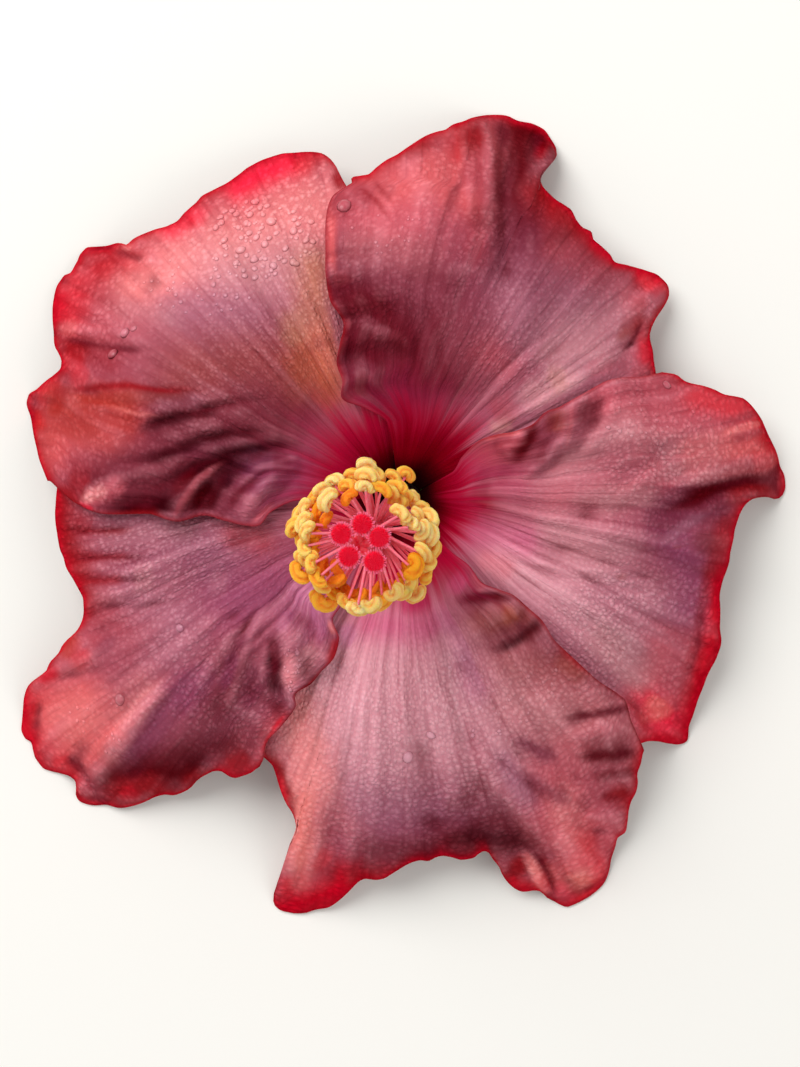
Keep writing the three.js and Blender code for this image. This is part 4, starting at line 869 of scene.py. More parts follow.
def paint(petal, radius, azimuth, across, rim_distance, over_distance, places, hollow):
    """The colour of each point of a petal's face."""
    seed = petal["seed"]
    mottle = layered_noise(places[..., 0] / 40, places[..., 1] / 40, seed + 60)
    ragged = [layered_noise(places[..., 0] / 7, places[..., 1] / 7, seed + k) for k in (64, 67)]
    streak = noise(across * 34, radius / 30, seed + 70) + 0.6 * noise(across * 80, radius / 22, seed + 71)
    ray = petal["rays"] * streak * (1 - 0.6 * smoothstep(radius, 44, 66))
    a = np.radians(azimuth)
    aside = np.stack([-np.sin(a), -np.cos(a)], axis=-1)
    moved = places + RAGGEDNESS * np.stack(ragged, axis=-1) + STREAK_SHIFT * streak[..., None] * aside
    colour = np.broadcast_to(PALETTE["mauve"], radius.shape + (3,)).copy()

    def lay(name, weight):
        nonlocal colour
        colour = lerp(colour, PALETTE[name], np.clip(weight, 0, 1)[..., None])

    lay("lavender", 0.5 * (1 - smoothstep(across, 0.1, 0.6)) + 0.25 * mottle)
    lay("plum", 0.5 * smoothstep(across, 0.6, 0.98) + 0.2 * mottle)
    lay("rose", 0.5 * np.exp(-((rim_distance - 4) / 6) ** 2) * (1 + 0.5 * mottle))
    lay("brick", 0.8 * np.exp(-(rim_distance / (3 + mottle)) ** 2))
    # The marks: the petal's own colours, with painted shade in creases and folds and painted highlights on
    # ridges.
    for name, strength, half_width, *line in MARKS[petal["name"]]:
        shifted = lerp(places, moved, min(1, half_width / BROAD_MARK))
        narrow = half_width < BROAD_MARK
        taper = MARK_TAPER if narrow else 0
        sharpness = SHARP_MARK if narrow else SOFT_MARK
        lay(name, strength * line_weight(shifted, line, half_width * 1.1, taper, sharpness))
    lay("red", 0.6 * np.exp(-(rim_distance / (1.5 + 0.8 * mottle)) ** 2))
    # Painted light from the relief: frost on ridges is a painted highlight, dusk and wine in hollows are
    # painted shade, and the brightening on ridges is painted light; the parts that follow ray are the petal's
    # own streaks.
    pale = colour[..., 1] / (colour[..., 1] + 0.05)
    lay("frost", 0.6 * pale * np.clip(0.32 * smoothstep(-hollow, 0.03, 0.5) + 0.4 * ray, 0, 0.7))
    lay("dusk", pale * (0.42 * smoothstep(hollow, 0.03, 0.5) + 0.3 * smoothstep(-ray, 0.1, 1.2)))
    lay("wine", 0.6 * smoothstep(hollow, 0.22, 0.85))
    colour = colour * (1 + 0.15 * smoothstep(-hollow, 0.05, 0.8) + 0.1 * ray)[..., None]
    lay("red", 0.7 * np.exp(-(rim_distance / 0.5) ** 2))
    lay("brick", 0.7 * np.exp(-(over_distance / 0.4) ** 2))
    reach = (radius + 2 * streak) / petal["throat"]
    lay("magenta", 0.3 * (1 - smoothstep(reach, 1, 1.6)))
    lay("crimson", 1 - smoothstep(reach, 0.8, 1.25))
    lay("eye", 1 - smoothstep(reach, 0.47 * petal["eye"], petal["eye"]))
    # Painted shade deep in the throat.
    lay("black", 1 - smoothstep(radius, 5, 10))
    return colour


FAN_STEP = 7.0  # how far apart the veins of two petals are drawn from the same noise


def make_petal(petal, index):
    """Builds a petal's skin and keeps its face, for the drops that sit on it."""
    petal["seed"] = 100 * (index + 1)
    petal["rim"] = outline_rim(petal)
    sample = lerp(petal["under"][-1][1], petal["over"][-1][1], np.linspace(0, 1, RIM_SAMPLES))
    petal["broad_rim"] = blurred(through(petal["rim"], sample)[None], RIM_BLUR)[0]
    columns = petal_columns(petal)[:, None]
    rows = (np.linspace(0, 1, GRID_ROWS + 1) ** ROW_CROWDING)[None, :]
    along, across = np.broadcast_arrays(rows, columns)
    middle, places, relief = petal_points(petal, along, across)
    radius, azimuth = petal_plan(petal, along, across)
    normal = np.cross(np.gradient(middle, axis=1), np.gradient(middle, axis=0))
    normal /= np.linalg.norm(normal, axis=-1, keepdims=True)
    rim_distance = petal_plan(petal, 1, across)[0] - radius
    arc = np.radians(PETAL_SPAN) * radius
    over_distance = (1 - across) * arc
    edge_distance = np.minimum(rim_distance, np.minimum(across * arc, over_distance))
    fullness = smoothstep(edge_distance, 0, MARGIN_WIDTH)
    thickness = lerp(MARGIN_THICKNESS, PETAL_THICKNESS, fullness)[..., None]
    face, back = middle + normal * thickness / 2, middle - normal * thickness / 2
    vertices = np.concatenate([face.reshape(-1, 3), back.reshape(-1, 3)])
    thing = mesh_object(petal["name"] + "_skin", vertices, sheet_faces(GRID_COLUMNS, GRID_ROWS).tolist())
    hollow = blurred(relief, HOLLOW_BLUR) - relief
    tint = paint(petal, radius, azimuth, across, rim_distance, over_distance, places, hollow)
    fan = np.stack([across * PETAL_SPAN, radius, np.full_like(radius, index * FAN_STEP)], -1)
    set_tint(thing, np.tile(tint.reshape(-1, 3), (2, 1)))
    set_attribute(thing, "fan", "FLOAT_VECTOR", np.tile(fan.reshape(-1, 3), (2, 1)))
    set_attribute(thing, "back", "FLOAT", np.repeat([0, 1], radius.size))
    carry(thing, PETAL_MATERIAL, petal["name"])
    petal["skin"] = (face, normal, places, tint)


def carry(thing, material, node):
    """Gives a piece its looks, its body and the solid that it stands for, if any."""
    thing.data.materials.append(material)
    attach(thing, "root")
    if node:
        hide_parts(node)


# ---- materials ---------------------------------------------------------------------------------


class Graph:
    """Shorthand for building a material's nodes."""

    def __init__(self, name):
        self.material = bpy.data.materials.new(name)
        self.material.use_nodes = True
        self.tree = self.material.node_tree
        self.shader = self.tree.nodes["Principled BSDF"]

    def node(self, kind, inputs=(), **settings):
        made = self.tree.nodes.new("ShaderNode" + kind)
        for key, value in settings.items():
            setattr(made, key, value)
        for key, value in dict(inputs).items():
            self.set(made.inputs[key], value)
        return made

    def set(self, socket, value):
        if isinstance(value, bpy.types.NodeSocket):
            self.tree.links.new(value, socket)
        elif socket.type == "RGBA" and len(value) == 3:
            socket.default_value = (*value, 1)
        else:
            socket.default_value = value

    def finish(self, **inputs):
        for key, value in inputs.items():
            self.set(self.shader.inputs[key.replace("_", " ")], value)
        return self.material

    def place(self):
        return self.node("TexCoord").outputs["Object"]

    def product(self, a, b):
        return self.node("Math", {0: a, 1: b}, operation="MULTIPLY").outputs[0]

    def spread(self, value, low, high, out_low=0.0, out_high=1.0):
        inputs = {"Value": value, "From Min": low, "From Max": high, "To Min": out_low, "To Max": out_high}
        return self.node("MapRange", inputs, clamp=True).outputs[0]

    def weighed(self, *terms):
        """The sum of values, each times its weight."""
        total = 0.0
        for value, weight in terms:
            total = self.node("Math", {0: value, 1: weight, 2: total}, operation="MULTIPLY_ADD").outputs[0]
        return total

    def mix(self, factor, a, b, blend="MIX"):
        made = self.node("Mix", data_type="RGBA", blend_type=blend)
        self.set(made.inputs[0], factor)
        self.set(made.inputs[6], a)
        self.set(made.inputs[7], b)
        return made.outputs[2]

    def attribute(self, name, output="Color"):
        return self.node("Attribute", attribute_name=name).outputs[output]

    def scaled(self, vector, scale):
        return self.node("VectorMath", {0: vector, 1: scale}, operation="MULTIPLY").outputs[0]

    def added(self, a, b):
        return self.node("VectorMath", {0: a, 1: b}).outputs[0]

    def noise(self, vector, scale, detail=2.0, roughness=0.5):
        inputs = {"Vector": vector, "Scale": scale, "Detail": detail, "Roughness": roughness}
        return self.node("TexNoise", inputs).outputs[0]

    def noise_colour(self, vector, scale):
        return self.node("TexNoise", {"Vector": vector, "Scale": scale}).outputs[1]

    def cells(self, vector, scale, randomness=1.0):
        inputs = {"Vector": vector, "Scale": scale, "Randomness": randomness}
        return self.node("TexVoronoi", inputs).outputs["Distance"]

    def bump(self, height, strength, distance, over=None):
        inputs = {"Height": height, "Strength": strength, "Distance": distance}
        if over is not None:
            inputs["Normal"] = over
        return self.node("Bump", inputs).outputs[0]


def petal_material():
    g = Graph("petal")
    place = g.place()
    fan = g.attribute("fan", "Vector")
    radius = g.node("SeparateXYZ", {0: fan}).outputs[1]
    tint = g.scaled(g.attribute("tint"), (1.02, 0.93, 0.91))

    # Veins run out from the claw and fade into the net of cells towards the rim.
    vein = g.spread(g.noise(g.scaled(fan, (0.5, 0.03, 1)), 1.0, 3.0, 0.6), 0.42, 0.7)
    near = g.product(g.spread(radius, 60, 22, 0.15, 1), g.spread(radius, 13, 22))
    vein = g.product(vein, near)
    furrow = g.spread(g.noise(g.scaled(fan, (0.9, 0.05, 1)), 1.0, 2.0), 0.5, 0.75)

    # The skin is a net of small swollen cells in rows along the veins, with painted highlights in their
    # middles and painted shade between them.
    wander = g.scaled(g.noise_colour(place, 250), (1.4, 1.4, 0))
    rows = g.added(g.scaled(fan, (0.95, 1.05, 1)), wander)
    bead = g.spread(g.cells(rows, 0.97, 0.8), 0.58, 0.14)
    speck = g.spread(g.cells(rows, 2.1), 0.6, 0.05)
    patch = g.spread(g.noise(place, 45), 0.35, 0.65, 0.35, 1)
    swell = g.product(g.spread(radius, 16, 34), patch)
    grain = g.product(g.weighed((bead, 0.8), (speck, 0.2)), swell)
    gain = g.weighed((vein, 0.4), (furrow, -0.25), (swell, -0.28), (grain, 0.62))
    colour = g.added(tint, g.scaled(tint, g.scaled(gain, (0.6, 1, 0.9))))
    depth = g.spread(g.node("SeparateColor", {0: tint}).outputs[1], 0.01, 0.2)
    colour = g.mix(g.product(g.product(grain, 0.22), depth), colour, PALETTE["cell_highlight"])

    # The back is paler than the face.
    colour = g.mix(g.product(g.attribute("back", "Fac"), 0.55), colour, PALETTE["petal_back"])
    dome = g.product(g.weighed((bead, 1.0), (speck, 0.3)), swell)
    normal = g.bump(dome, 0.8, 0.00024)
    normal = g.bump(g.weighed((vein, 1.0), (furrow, -1.0)), 0.35, 0.0003, normal)
    return g.finish(
        Base_Color=colour, Normal=normal, Roughness=0.5, Specular_IOR_Level=g.spread(depth, 0, 1, 0.0, 0.12),
        Subsurface_Weight=0.06, Subsurface_Radius=(0.8, 0.1, 0.15), Subsurface_Scale=0.001,
    )


PETAL_MATERIAL = petal_material()
for _index, _petal in enumerate(PETALS):
    make_petal(_petal, _index)

# ---- dew ---------------------------------------------------------------------------------------

# Patches of small drops on each petal: middle and half-widths in pixels of the picture, how many drops,
# and the radii in millimetres that they lie between. A patch of one drop is a single large one.
DEW = {
    "petal_upper_left": [
        (262, 236, 52, 42, 110, 0.4, 0.85), (200, 286, 56, 34, 40, 0.34, 0.6), (128, 335, 1, 1, 1, 1.0, 1.0),
        (136, 331, 1, 1, 1, 0.7, 0.7), (270, 218, 1, 1, 1, 1.1, 1.1), (292, 228, 1, 1, 1, 0.9, 0.9),
        (240, 250, 1, 1, 1, 1.0, 1.0), (118, 356, 1, 1, 1, 1.1, 1.1),
    ],
    "petal_top": [(386, 232, 36, 26, 18, 0.32, 0.5), (343, 209, 1, 1, 1, 1.5, 1.5)],
    "petal_right": [(664, 388, 1, 1, 1, 0.9, 0.9), (650, 424, 46, 26, 12, 0.32, 0.5)],
    "petal_lower_right": [
        (407, 757, 1, 1, 1, 1.25, 1.25), (431, 735, 1, 1, 1, 0.9, 0.9), (500, 690, 70, 50, 24, 0.32, 0.5),
    ],
    "petal_lower_left": [
        (182, 628, 1, 1, 1, 0.9, 0.9), (122, 700, 1, 1, 1, 1.3, 1.3), (292, 664, 8, 24, 18, 0.32, 0.55),
        (110, 720, 40, 30, 14, 0.32, 0.5),
    ],
}

DEW_SEED = 23
DROP_SLOPES = [0, 38, 64, 84]  # where on a drop its rings lie, from its foot at 0 to its top at 90
DROP_PAINTED_LIGHT = [0.72, 0.95, 1.15, 1.2]  # how bright each ring is beside the petal under it: painted shade at the drop's foot, painted light towards its top
DROP_SIDES = 10
DROP_FLATNESS = 0.5
DROP_SINK = 0.06


def make_dew():
    """Drops on the petals' faces."""
    rng = np.random.default_rng(DEW_SEED)
    shape = Shape()
    slope = np.radians(DROP_SLOPES)[:, None]
    shade = np.array(DROP_PAINTED_LIGHT)[:, None]
    lap = np.linspace(0, 2 * np.pi, DROP_SIDES, endpoint=False)[None, :]
    for petal in PETALS:
        middle, normal, places, tint = (v.reshape(-1, v.shape[-1]) for v in petal["skin"])
        for x, y, right, down, count, small, large in DEW[petal["name"]]:
            for _ in range(count):
                away, turn = math.sqrt(rng.uniform(0, 1)), rng.uniform(0, 2 * math.pi)
                spot = (x + right * away * math.cos(turn), y + down * away * math.sin(turn))
                at = int(((places - spot) ** 2).sum(-1).argmin())
                size = small * (large / small) ** rng.uniform(0, 1) ** 2
                up = normal[at]
                side = np.cross(up, (0, 1, 0.2))
                side /= np.linalg.norm(side)
                other = np.cross(up, side)
                radius = size * np.cos(slope) * (1 + 0.1 * np.cos(2 * lap + rng.uniform(0, 6)))
                lift = size * DROP_FLATNESS * np.sin(slope) - DROP_SINK
                rings = (radius * np.cos(lap))[..., None] * side + (radius * np.sin(lap))[..., None] * other
                # Each drop takes the colour of the petal under it, with painted shade and painted light ring
                # by ring.
                shape.rings(rings + lift[..., None] * up + middle[at], tint[at] * shade)
    shape.piece("dew", DEW_MATERIAL, None, "petal")


def dew_material():
    g = Graph("dew")
    place = g.place()
    # Pale flecks painted on the drops as glints.
    gleam = g.spread(g.noise(place, 900), 0.4, 0.7, 0, 0.15)
    colour = g.mix(gleam, g.attribute("tint"), PALETTE["dew"])
    normal = g.bump(g.noise(place, 1500), 0.1, 0.0001)
    return g.finish(Base_Color=colour, Normal=normal, Roughness=0.2, Specular_IOR_Level=0.3)


# ---- stamens and pistil ------------------------------------------------------------------------

COLUMN_FOOT = 5.1
COLUMN_TOP = np.array([-6.4, -7.6, 62.5])
COLUMN_LEAN_POWER = 1.25  # how much more it leans towards its top
COLUMN_FOOT_RADIUS = 3.1
COLUMN_TOP_RADIUS = 1.7
COLUMN_SIDES = 40
COLUMN_RINGS = 60
FILAMENT_DROP = 3.5  # how far below its anther a filament leaves the column
FILAMENT_SPREAD = 0.4  # and how much lower for each millimetre of its reach
FILAMENT_ARCH = (0.4, 1.6)  # how high it bows
FILAMENT_POINTS = 14
FILAMENT_RADII = (0.34, 0.22)
STAMEN_SEED, PISTIL_SEED, HAIR_SEED = 7, 11, 23
ANTHER_TURNS = (38, 35, 40)  # the most that an anther turns about, tilts and rolls, in degrees
ANTHER_BEND = (96, 122)  # degrees that each arm of its horseshoe turns through
ANTHER_SCALE = 1.1
GROOVE_DEPTH = 0.42
UNDERSIDE_SHADE = 0.65  # how much deeper in colour the underside and the grooves are painted, as painted shade
STIGMA_RADIUS = 1.85
STIGMA_THICKNESS = 1.5
STIGMA_HEIGHT = 72.5
ARM_SPLIT_HEIGHT = 67.6
STYLE_RADIUS = 0.6
STYLE_FOOT = 57.8
ARM_POINTS = 16
PAD_SIDES, PAD_RINGS = 30, 14
PAPILLAE = 190
PAPILLA_LENGTH = (0.3, 0.42)
PAPILLA_RADII = (0.09, 0.11, 0.1, 0.05)
PAPILLA_STEPS = [-0.12, 0.5, 0.85, 1]
GOLDEN_ANGLE = 137.508
STIGMAS = [(0, 2.7), (-3.4, 1.1), (2.7, 0.6), (-2.2, -2.5), (1.9, -3.3)]

# Anthers about the column's top: azimuth, reach, height, then size and ripeness from 0, pale, to 1.
ANTHERS = [
    (89, 12.3, 55, 1.0, 0.1), (87, 10.4, 60, 1.1, 0.2), (88, 8.4, 61, 1.0, 0.1), (107, 9.1, 58, 1.0, 0.5),
    (106, 7.2, 60, 0.9, 0.9), (118, 10.5, 56, 1.1, 0.1), (131, 10.5, 56, 1.1, 0.2), (130, 8.5, 61, 1.15, 0.1),
    (158, 11.2, 53, 1.1, 0.3), (163, 9.8, 60, 1.1, 0.2), (170, 11.4, 55, 1.1, 0.4), (172, 8.8, 61, 1.1, 0.2),
    (185, 9.3, 60, 1.1, 0.3), (195, 10, 55, 1.1, 0.3), (189, 8, 58, 1.0, 0.7), (206, 11.6, 55, 1.15, 0.6),
    (204, 8.8, 61, 1.05, 0.4), (219, 9.1, 60, 1.1, 0.6), (233, 7.6, 56, 1.0, 0.9), (227, 6.1, 55, 0.9, 1.0),
    (235, 11.8, 51, 1.35, 0.6), (255, 10.1, 56, 1.1, 0.4), (265, 10.7, 60, 1.1, 0.1),
    (276, 10.1, 60, 1.1, 0.2), (288, 9.8, 56, 1.05, 0.6), (299, 9.4, 60, 1.1, 0.2), (308, 10.2, 56, 1.1, 0.3),
    (314, 12, 53, 1.1, 0.2), (331, 8.7, 60, 1.3, 0.7), (330, 11, 55, 1.1, 0.5), (342, 10.7, 56, 1.1, 0.3),
    (354, 11.1, 53, 1.1, 0.3), (6, 10.6, 56, 1.15, 0.1), (18, 11.2, 55, 1.1, 0.2), (17, 7.8, 60, 1.05, 0.1),
    (36, 7, 61, 1.1, 0.2), (58, 9.9, 56, 1.1, 0.5), (66, 11.2, 51, 1.0, 0.4), (58, 13, 44, 1.0, 0.5),
    (42, 10.3, 47, 1.0, 0.2), (33, 9.9, 49, 1.0, 0.2), (71, 8.5, 60, 1.05, 0.6), (146, 8.8, 56, 1.0, 0.8),
    (149, 6.7, 58, 0.9, 0.9), (255, 8.3, 53, 1.0, 1.0), (281, 7.9, 53, 1.0, 0.9), (49, 8.3, 55, 1.0, 0.4),
    (100, 10.8, 53, 0.95, 0.4), (80, 11, 54, 0.9, 0.3), (96, 8.4, 54, 0.95, 0.9), (124, 8.6, 53, 1.0, 0.8),
    (140, 10.2, 53, 1.05, 0.5), (150, 10.6, 57, 1.05, 0.2), (166, 8.2, 54, 0.95, 0.8),
    (179, 10, 53, 1.05, 0.5), (180, 7.6, 55, 0.9, 0.9), (198, 8.4, 54, 0.95, 0.8), (212, 9.8, 54, 1.1, 0.5),
    (214, 7.6, 53, 0.95, 1.0), (226, 9.8, 57, 1.05, 0.4), (240, 9.4, 53, 1.05, 0.7),
    (244, 7.8, 52, 0.95, 1.0), (262, 9.2, 53, 1.0, 0.8), (270, 8.6, 52, 0.95, 0.9), (284, 10.4, 53, 1.0, 0.4),
    (294, 8.4, 53, 0.95, 0.9), (304, 8.8, 54, 1.0, 0.7), (316, 9.8, 57, 1.1, 0.3), (322, 8, 53, 1.0, 0.8),
    (338, 9.4, 53, 1.05, 0.6), (348, 9.6, 58, 1.05, 0.2), (0, 9.4, 54, 1.0, 0.5), (12, 9.4, 58, 1.05, 0.1),
    (26, 9.2, 56, 1.0, 0.2), (28, 10.8, 52, 0.95, 0.3), (48, 9.8, 52, 0.95, 0.4), (62, 8.8, 57, 0.95, 0.3),
]
ANTHER_LOOKS = ["cream", "butter", "yolk", "amber"]
PALETTE.update({
    "cream": srgb(255, 228, 164),
    "butter": srgb(255, 208, 100),
    "yolk": srgb(255, 172, 14),
    "amber": srgb(255, 120, 4),
    "filament": srgb(255, 112, 134),
    "filament_root": srgb(222, 40, 78),
    "stigma": srgb(255, 2, 52),
    "papilla": srgb(255, 124, 160),
    "leaf": srgb(128, 154, 74),
    "leaf_dark": srgb(88, 118, 50),
    "leaf_pale": srgb(170, 186, 112),
    "blush": srgb(160, 84, 70),
    "pith": srgb(206, 210, 160),
    "anther_bloom": srgb(255, 246, 214),
    "pollen": srgb(236, 156, 36),
    "flesh_mottle": srgb(255, 186, 196),
    # The painted shade in the stigma's pits.
    "stigma_pit_shade": srgb(190, 0, 30),
    "leaf_wash": srgb(250, 240, 170),
    "leaf_cell": srgb(140, 168, 110),
    "floor": srgb(246, 244, 238),
})


NO_STEMS_WAY = (0.31, 0.87, 0.38)  # a direction that no tube runs along


class Shape:
    """Points, faces and colours gathered from several forms into one piece."""

    def __init__(self):
        self.points, self.faces, self.tints, self.count = [], [], [], 0

    def rings(self, rings, tint, closed=True):
        """A skin over rings of points. tint is one colour, one for each ring or one for each point."""
        rows, sides, _ = rings.shape
        at = np.arange(rows * sides).reshape(rows, sides) + self.count
        after = np.roll(at, -1, axis=1)
        quads = np.stack([at[:-1], after[:-1], after[1:], at[1:]], -1).reshape(-1, 4)
        tint = np.asarray(tint, float)
        tint = tint if tint.ndim == 3 else tint.reshape(-1, 1, 3)
        tints = np.broadcast_to(tint, (rows, sides, 3)).reshape(-1, 3)
        self.points.append(rings.reshape(-1, 3))
        self.tints.append(tints)
        self.faces += quads.tolist()
        self.count += rows * sides
        if closed:
            for ring, ids, turn in ((rings[0], at[0], -1), (rings[-1], at[-1], 1)):
                self.points.append(ring.mean(axis=0)[None])
                self.tints.append(tints[:1] if turn < 0 else tints[-1:])
                self.faces += [
                    [int(a), int(b), self.count][::turn] for a, b in zip(ids, np.roll(ids, -1))
                ]
                self.count += 1

    def tube(self, points, radii, tint, sides=7):
        """A round stem along points, with a radius at each."""
        points = np.asarray(points, float)
        way = np.gradient(points, axis=0)
        way /= np.linalg.norm(way, axis=1, keepdims=True)
        side = np.cross(way, NO_STEMS_WAY)
        side /= np.linalg.norm(side, axis=1, keepdims=True)
        other = np.cross(way, side)
        turn = np.linspace(0, 2 * np.pi, sides, endpoint=False)
        ring = side[:, None] * np.cos(turn)[:, None] + other[:, None] * np.sin(turn)[:, None]
        radii = np.broadcast_to(radii, len(points))[:, None, None]
        self.rings(points[:, None] + ring * radii, tint)

    def piece(self, name, material, node, slot):
        thing = mesh_object(name, np.concatenate(self.points), self.faces)
        set_tint(thing, np.concatenate(self.tints))
        carry(thing, material, node)


def bezier(points, count):
    """Points along a smooth curve that starts and ends at the outer points and is drawn to the others."""
    t = np.linspace(0, 1, count)[:, None]
    levels = [np.asarray(p, float)[None] for p in points]
    while len(levels) > 1:
        levels = [lerp(a, b, t) for a, b in zip(levels[:-1], levels[1:])]
    return levels[0]


def column_middle(height):
    """The middle of the leaning column at a height."""
    share = np.clip((np.asarray(height, float) - COLUMN_FOOT) / (COLUMN_TOP[2] - COLUMN_FOOT), 0, 1.2)
    lean = share ** COLUMN_LEAN_POWER
    return np.stack([COLUMN_TOP[0] * lean, COLUMN_TOP[1] * lean, np.asarray(height, float)], -1)


def turned(points, azimuth, tilt, roll):
    """Points turned by three angles in degrees: rolled about X, tilted about Y, then about Z."""
    turn = Matrix.Rotation(math.radians(azimuth), 3, "Z") @ Matrix.Rotation(math.radians(tilt), 3, "Y")
    turn = turn @ Matrix.Rotation(math.radians(roll), 3, "X")
    return points @ np.array(turn).T


def anther_rings(size, rng):
    """A split anther: a fat horseshoe bent about its filament, with ridges along it, and its grooves."""
    rows, sides = 28, 24
    sweep = np.linspace(-1, 1, rows)[:, None]
    bend = np.radians(rng.uniform(*ANTHER_BEND)) * sweep
    around = np.linspace(0, 2 * np.pi, sides, endpoint=False)[None, :]
    taper = np.sqrt(np.maximum(1 - np.abs(sweep) ** 3.2, 0.02))
    phase = rng.uniform(0, 6)
    groove = (1 - np.abs(np.cos(2 * around + phase + 0.9 * sweep))) ** 1.6
    ridges = 1 - GROOVE_DEPTH * groove + 0.05 * np.cos(7 * around - phase + 3 * sweep)
    lumps = 1 + 0.16 * layered_noise(sweep * 4 + phase * 9, around / 1.2, 5)
    thick = 0.98 * taper * ridges * lumps
    reach = 0.78 + thick * np.cos(around)
    ring = np.stack([reach * np.cos(bend), reach * np.sin(bend) * 1.16, thick * np.sin(around) * 1.05], -1)
    return ring * size * ANTHER_SCALE, groove[..., None]


def ripeness_colour(ripeness):
    """An anther's colour, from pale at 0 to deep at 1."""
    place = ripeness * (len(ANTHER_LOOKS) - 1)
    first = min(int(place), len(ANTHER_LOOKS) - 2)
    return lerp(PALETTE[ANTHER_LOOKS[first]], PALETTE[ANTHER_LOOKS[first + 1]], place - first)


def make_stamens():
    """The column's tube, and filaments that each carry an anther."""
    rng = np.random.default_rng(STAMEN_SEED)
    anthers, stems = Shape(), Shape()
    for azimuth, reach, height, size, ripeness in ANTHERS:
        tip = COLUMN_TOP * (1, 1, 0) + polar(reach, azimuth, height)
        root = column_middle(height - FILAMENT_DROP - FILAMENT_SPREAD * reach)
        bend = lerp(root, tip, 0.55) + (0, 0, rng.uniform(*FILAMENT_ARCH))
        stem = bezier([root, bend, tip], FILAMENT_POINTS)
        share = np.linspace(0, 1, FILAMENT_POINTS)[:, None]
        tint = lerp(PALETTE["filament_root"], PALETTE["filament"], smoothstep(share, 0.05, 0.5))
        stems.tube(stem, lerp(*FILAMENT_RADII, share[:, 0]), tint)
        rings, groove = anther_rings(size, rng)
        about, tilt, roll = [rng.uniform(-most, most) for most in ANTHER_TURNS]
        rings = turned(rings, azimuth + about, tilt, roll)
        # Painted shade: each anther is painted deeper orange towards its underside and in its grooves, paler
        # on top.
        low = rings[..., 2].min()
        shade = smoothstep(rings[..., 2], low, low + 2.2)[..., None]
        shade = shade * (1 - 0.75 * groove)
        shaded_colour = ripeness_colour(min(ripeness + UNDERSIDE_SHADE, 1))
        anthers.rings(rings + tip, lerp(shaded_colour, ripeness_colour(ripeness), shade))
    heights = np.linspace(COLUMN_FOOT, COLUMN_TOP[2], COLUMN_RINGS)
    share = (heights - COLUMN_FOOT) / (COLUMN_TOP[2] - COLUMN_FOOT)
    radii = lerp(COLUMN_FOOT_RADIUS, COLUMN_TOP_RADIUS, np.sqrt(share))
    turn = np.linspace(0, 2 * np.pi, COLUMN_SIDES, endpoint=False)
    ribs = 1 + 0.05 * np.cos(5 * turn) + 0.03 * np.cos(15 * turn + 1)
    ring = np.stack([np.cos(turn) * ribs, np.sin(turn) * ribs, 0 * turn], -1)
    tube = column_middle(heights)[:, None] + ring * radii[:, None, None]
    tint = lerp(PALETTE["crimson"], PALETTE["filament_root"], share[:, None])
    stems.rings(tube, tint)
    anthers.piece("anthers", ANTHER_MATERIAL, "staminal_column", "stamens")
    stems.piece("filaments", FLESH_MATERIAL, "staminal_column", "stamens")


def make_pistil():
    """The style, which parts into five arms, each with a stigma."""
    rng = np.random.default_rng(PISTIL_SEED)
    arms, pads = Shape(), Shape()
    heights = np.linspace(STYLE_FOOT, ARM_SPLIT_HEIGHT, 12)
    arms.tube(column_middle(heights), STYLE_RADIUS, PALETTE["filament_root"], 12)
    split = column_middle(ARM_SPLIT_HEIGHT) - (0, 0, 0.7)
    for x, y in STIGMAS:
        pad = np.array([COLUMN_TOP[0] + x, COLUMN_TOP[1] + y, STIGMA_HEIGHT])
        arm = bezier([split, split + (0, 0, 2.5), pad - (0, 0, 3), pad], ARM_POINTS)
        share = np.linspace(0, 1, ARM_POINTS)[:, None]
        tint = lerp(PALETTE["stigma"], PALETTE["filament_root"], share)
        arms.tube(arm, lerp(1.0, 0.5, share[:, 0]), tint, 9)
        make_pad(pads, pad, rng)
    arms.piece("style_arms", FLESH_MATERIAL, "pistil", "pistil")
    pads.piece("stigmas", STIGMA_MATERIAL, "pistil", "pistil")


def make_pad(shape, middle, rng):
    """A stigma: a cushion covered in upright papillae, the outer ones longer and paler."""
    slope = np.linspace(-1.45, 1.5, PAD_RINGS)[:, None]
    turn = np.linspace(0, 2 * np.pi, PAD_SIDES, endpoint=False)[None, :]
    uneven = 1 + 0.05 * np.cos(3 * turn + rng.uniform(0, 6))
    radius = (STIGMA_RADIUS - 0.22) * np.cos(slope) ** 0.55 * uneven
    height = (STIGMA_THICKNESS / 2 - 0.2) * np.sin(slope) + 0 * turn
    rings = np.stack([radius * np.cos(turn), radius * np.sin(turn), height], -1)
    shape.rings(rings + middle, PALETTE["stigma"])
    steps = np.array(PAPILLA_STEPS)[:, None]
    for k in range(PAPILLAE):
        out = math.sqrt((k + 0.5) / PAPILLAE)
        a = k * math.radians(GOLDEN_ANGLE) + rng.uniform(-0.1, 0.1)
        rim = smoothstep(out, 0.8, 0.95)
        lean = out * 0.5 + rim * 0.75
        way = np.array([math.cos(a) * math.sin(lean), math.sin(a) * math.sin(lean), math.cos(lean)])
        at = STIGMA_RADIUS * 0.9 * out
        top = (STIGMA_THICKNESS / 2 - 0.24) * math.sqrt(max(1 - out ** 3.5, 0))
        foot = middle + (math.cos(a) * at, math.sin(a) * at, top)
        length = rng.uniform(*PAPILLA_LENGTH) + 0.12 * rim
        tint = lerp(PALETTE["stigma"], PALETTE["papilla"], 0.88 * rim + rng.uniform(0, 0.12))
        shape.tube(foot + way * length * steps, PAPILLA_RADII, tint, 5)


# ---- calyx, bracts and stalk -------------------------------------------------------------------

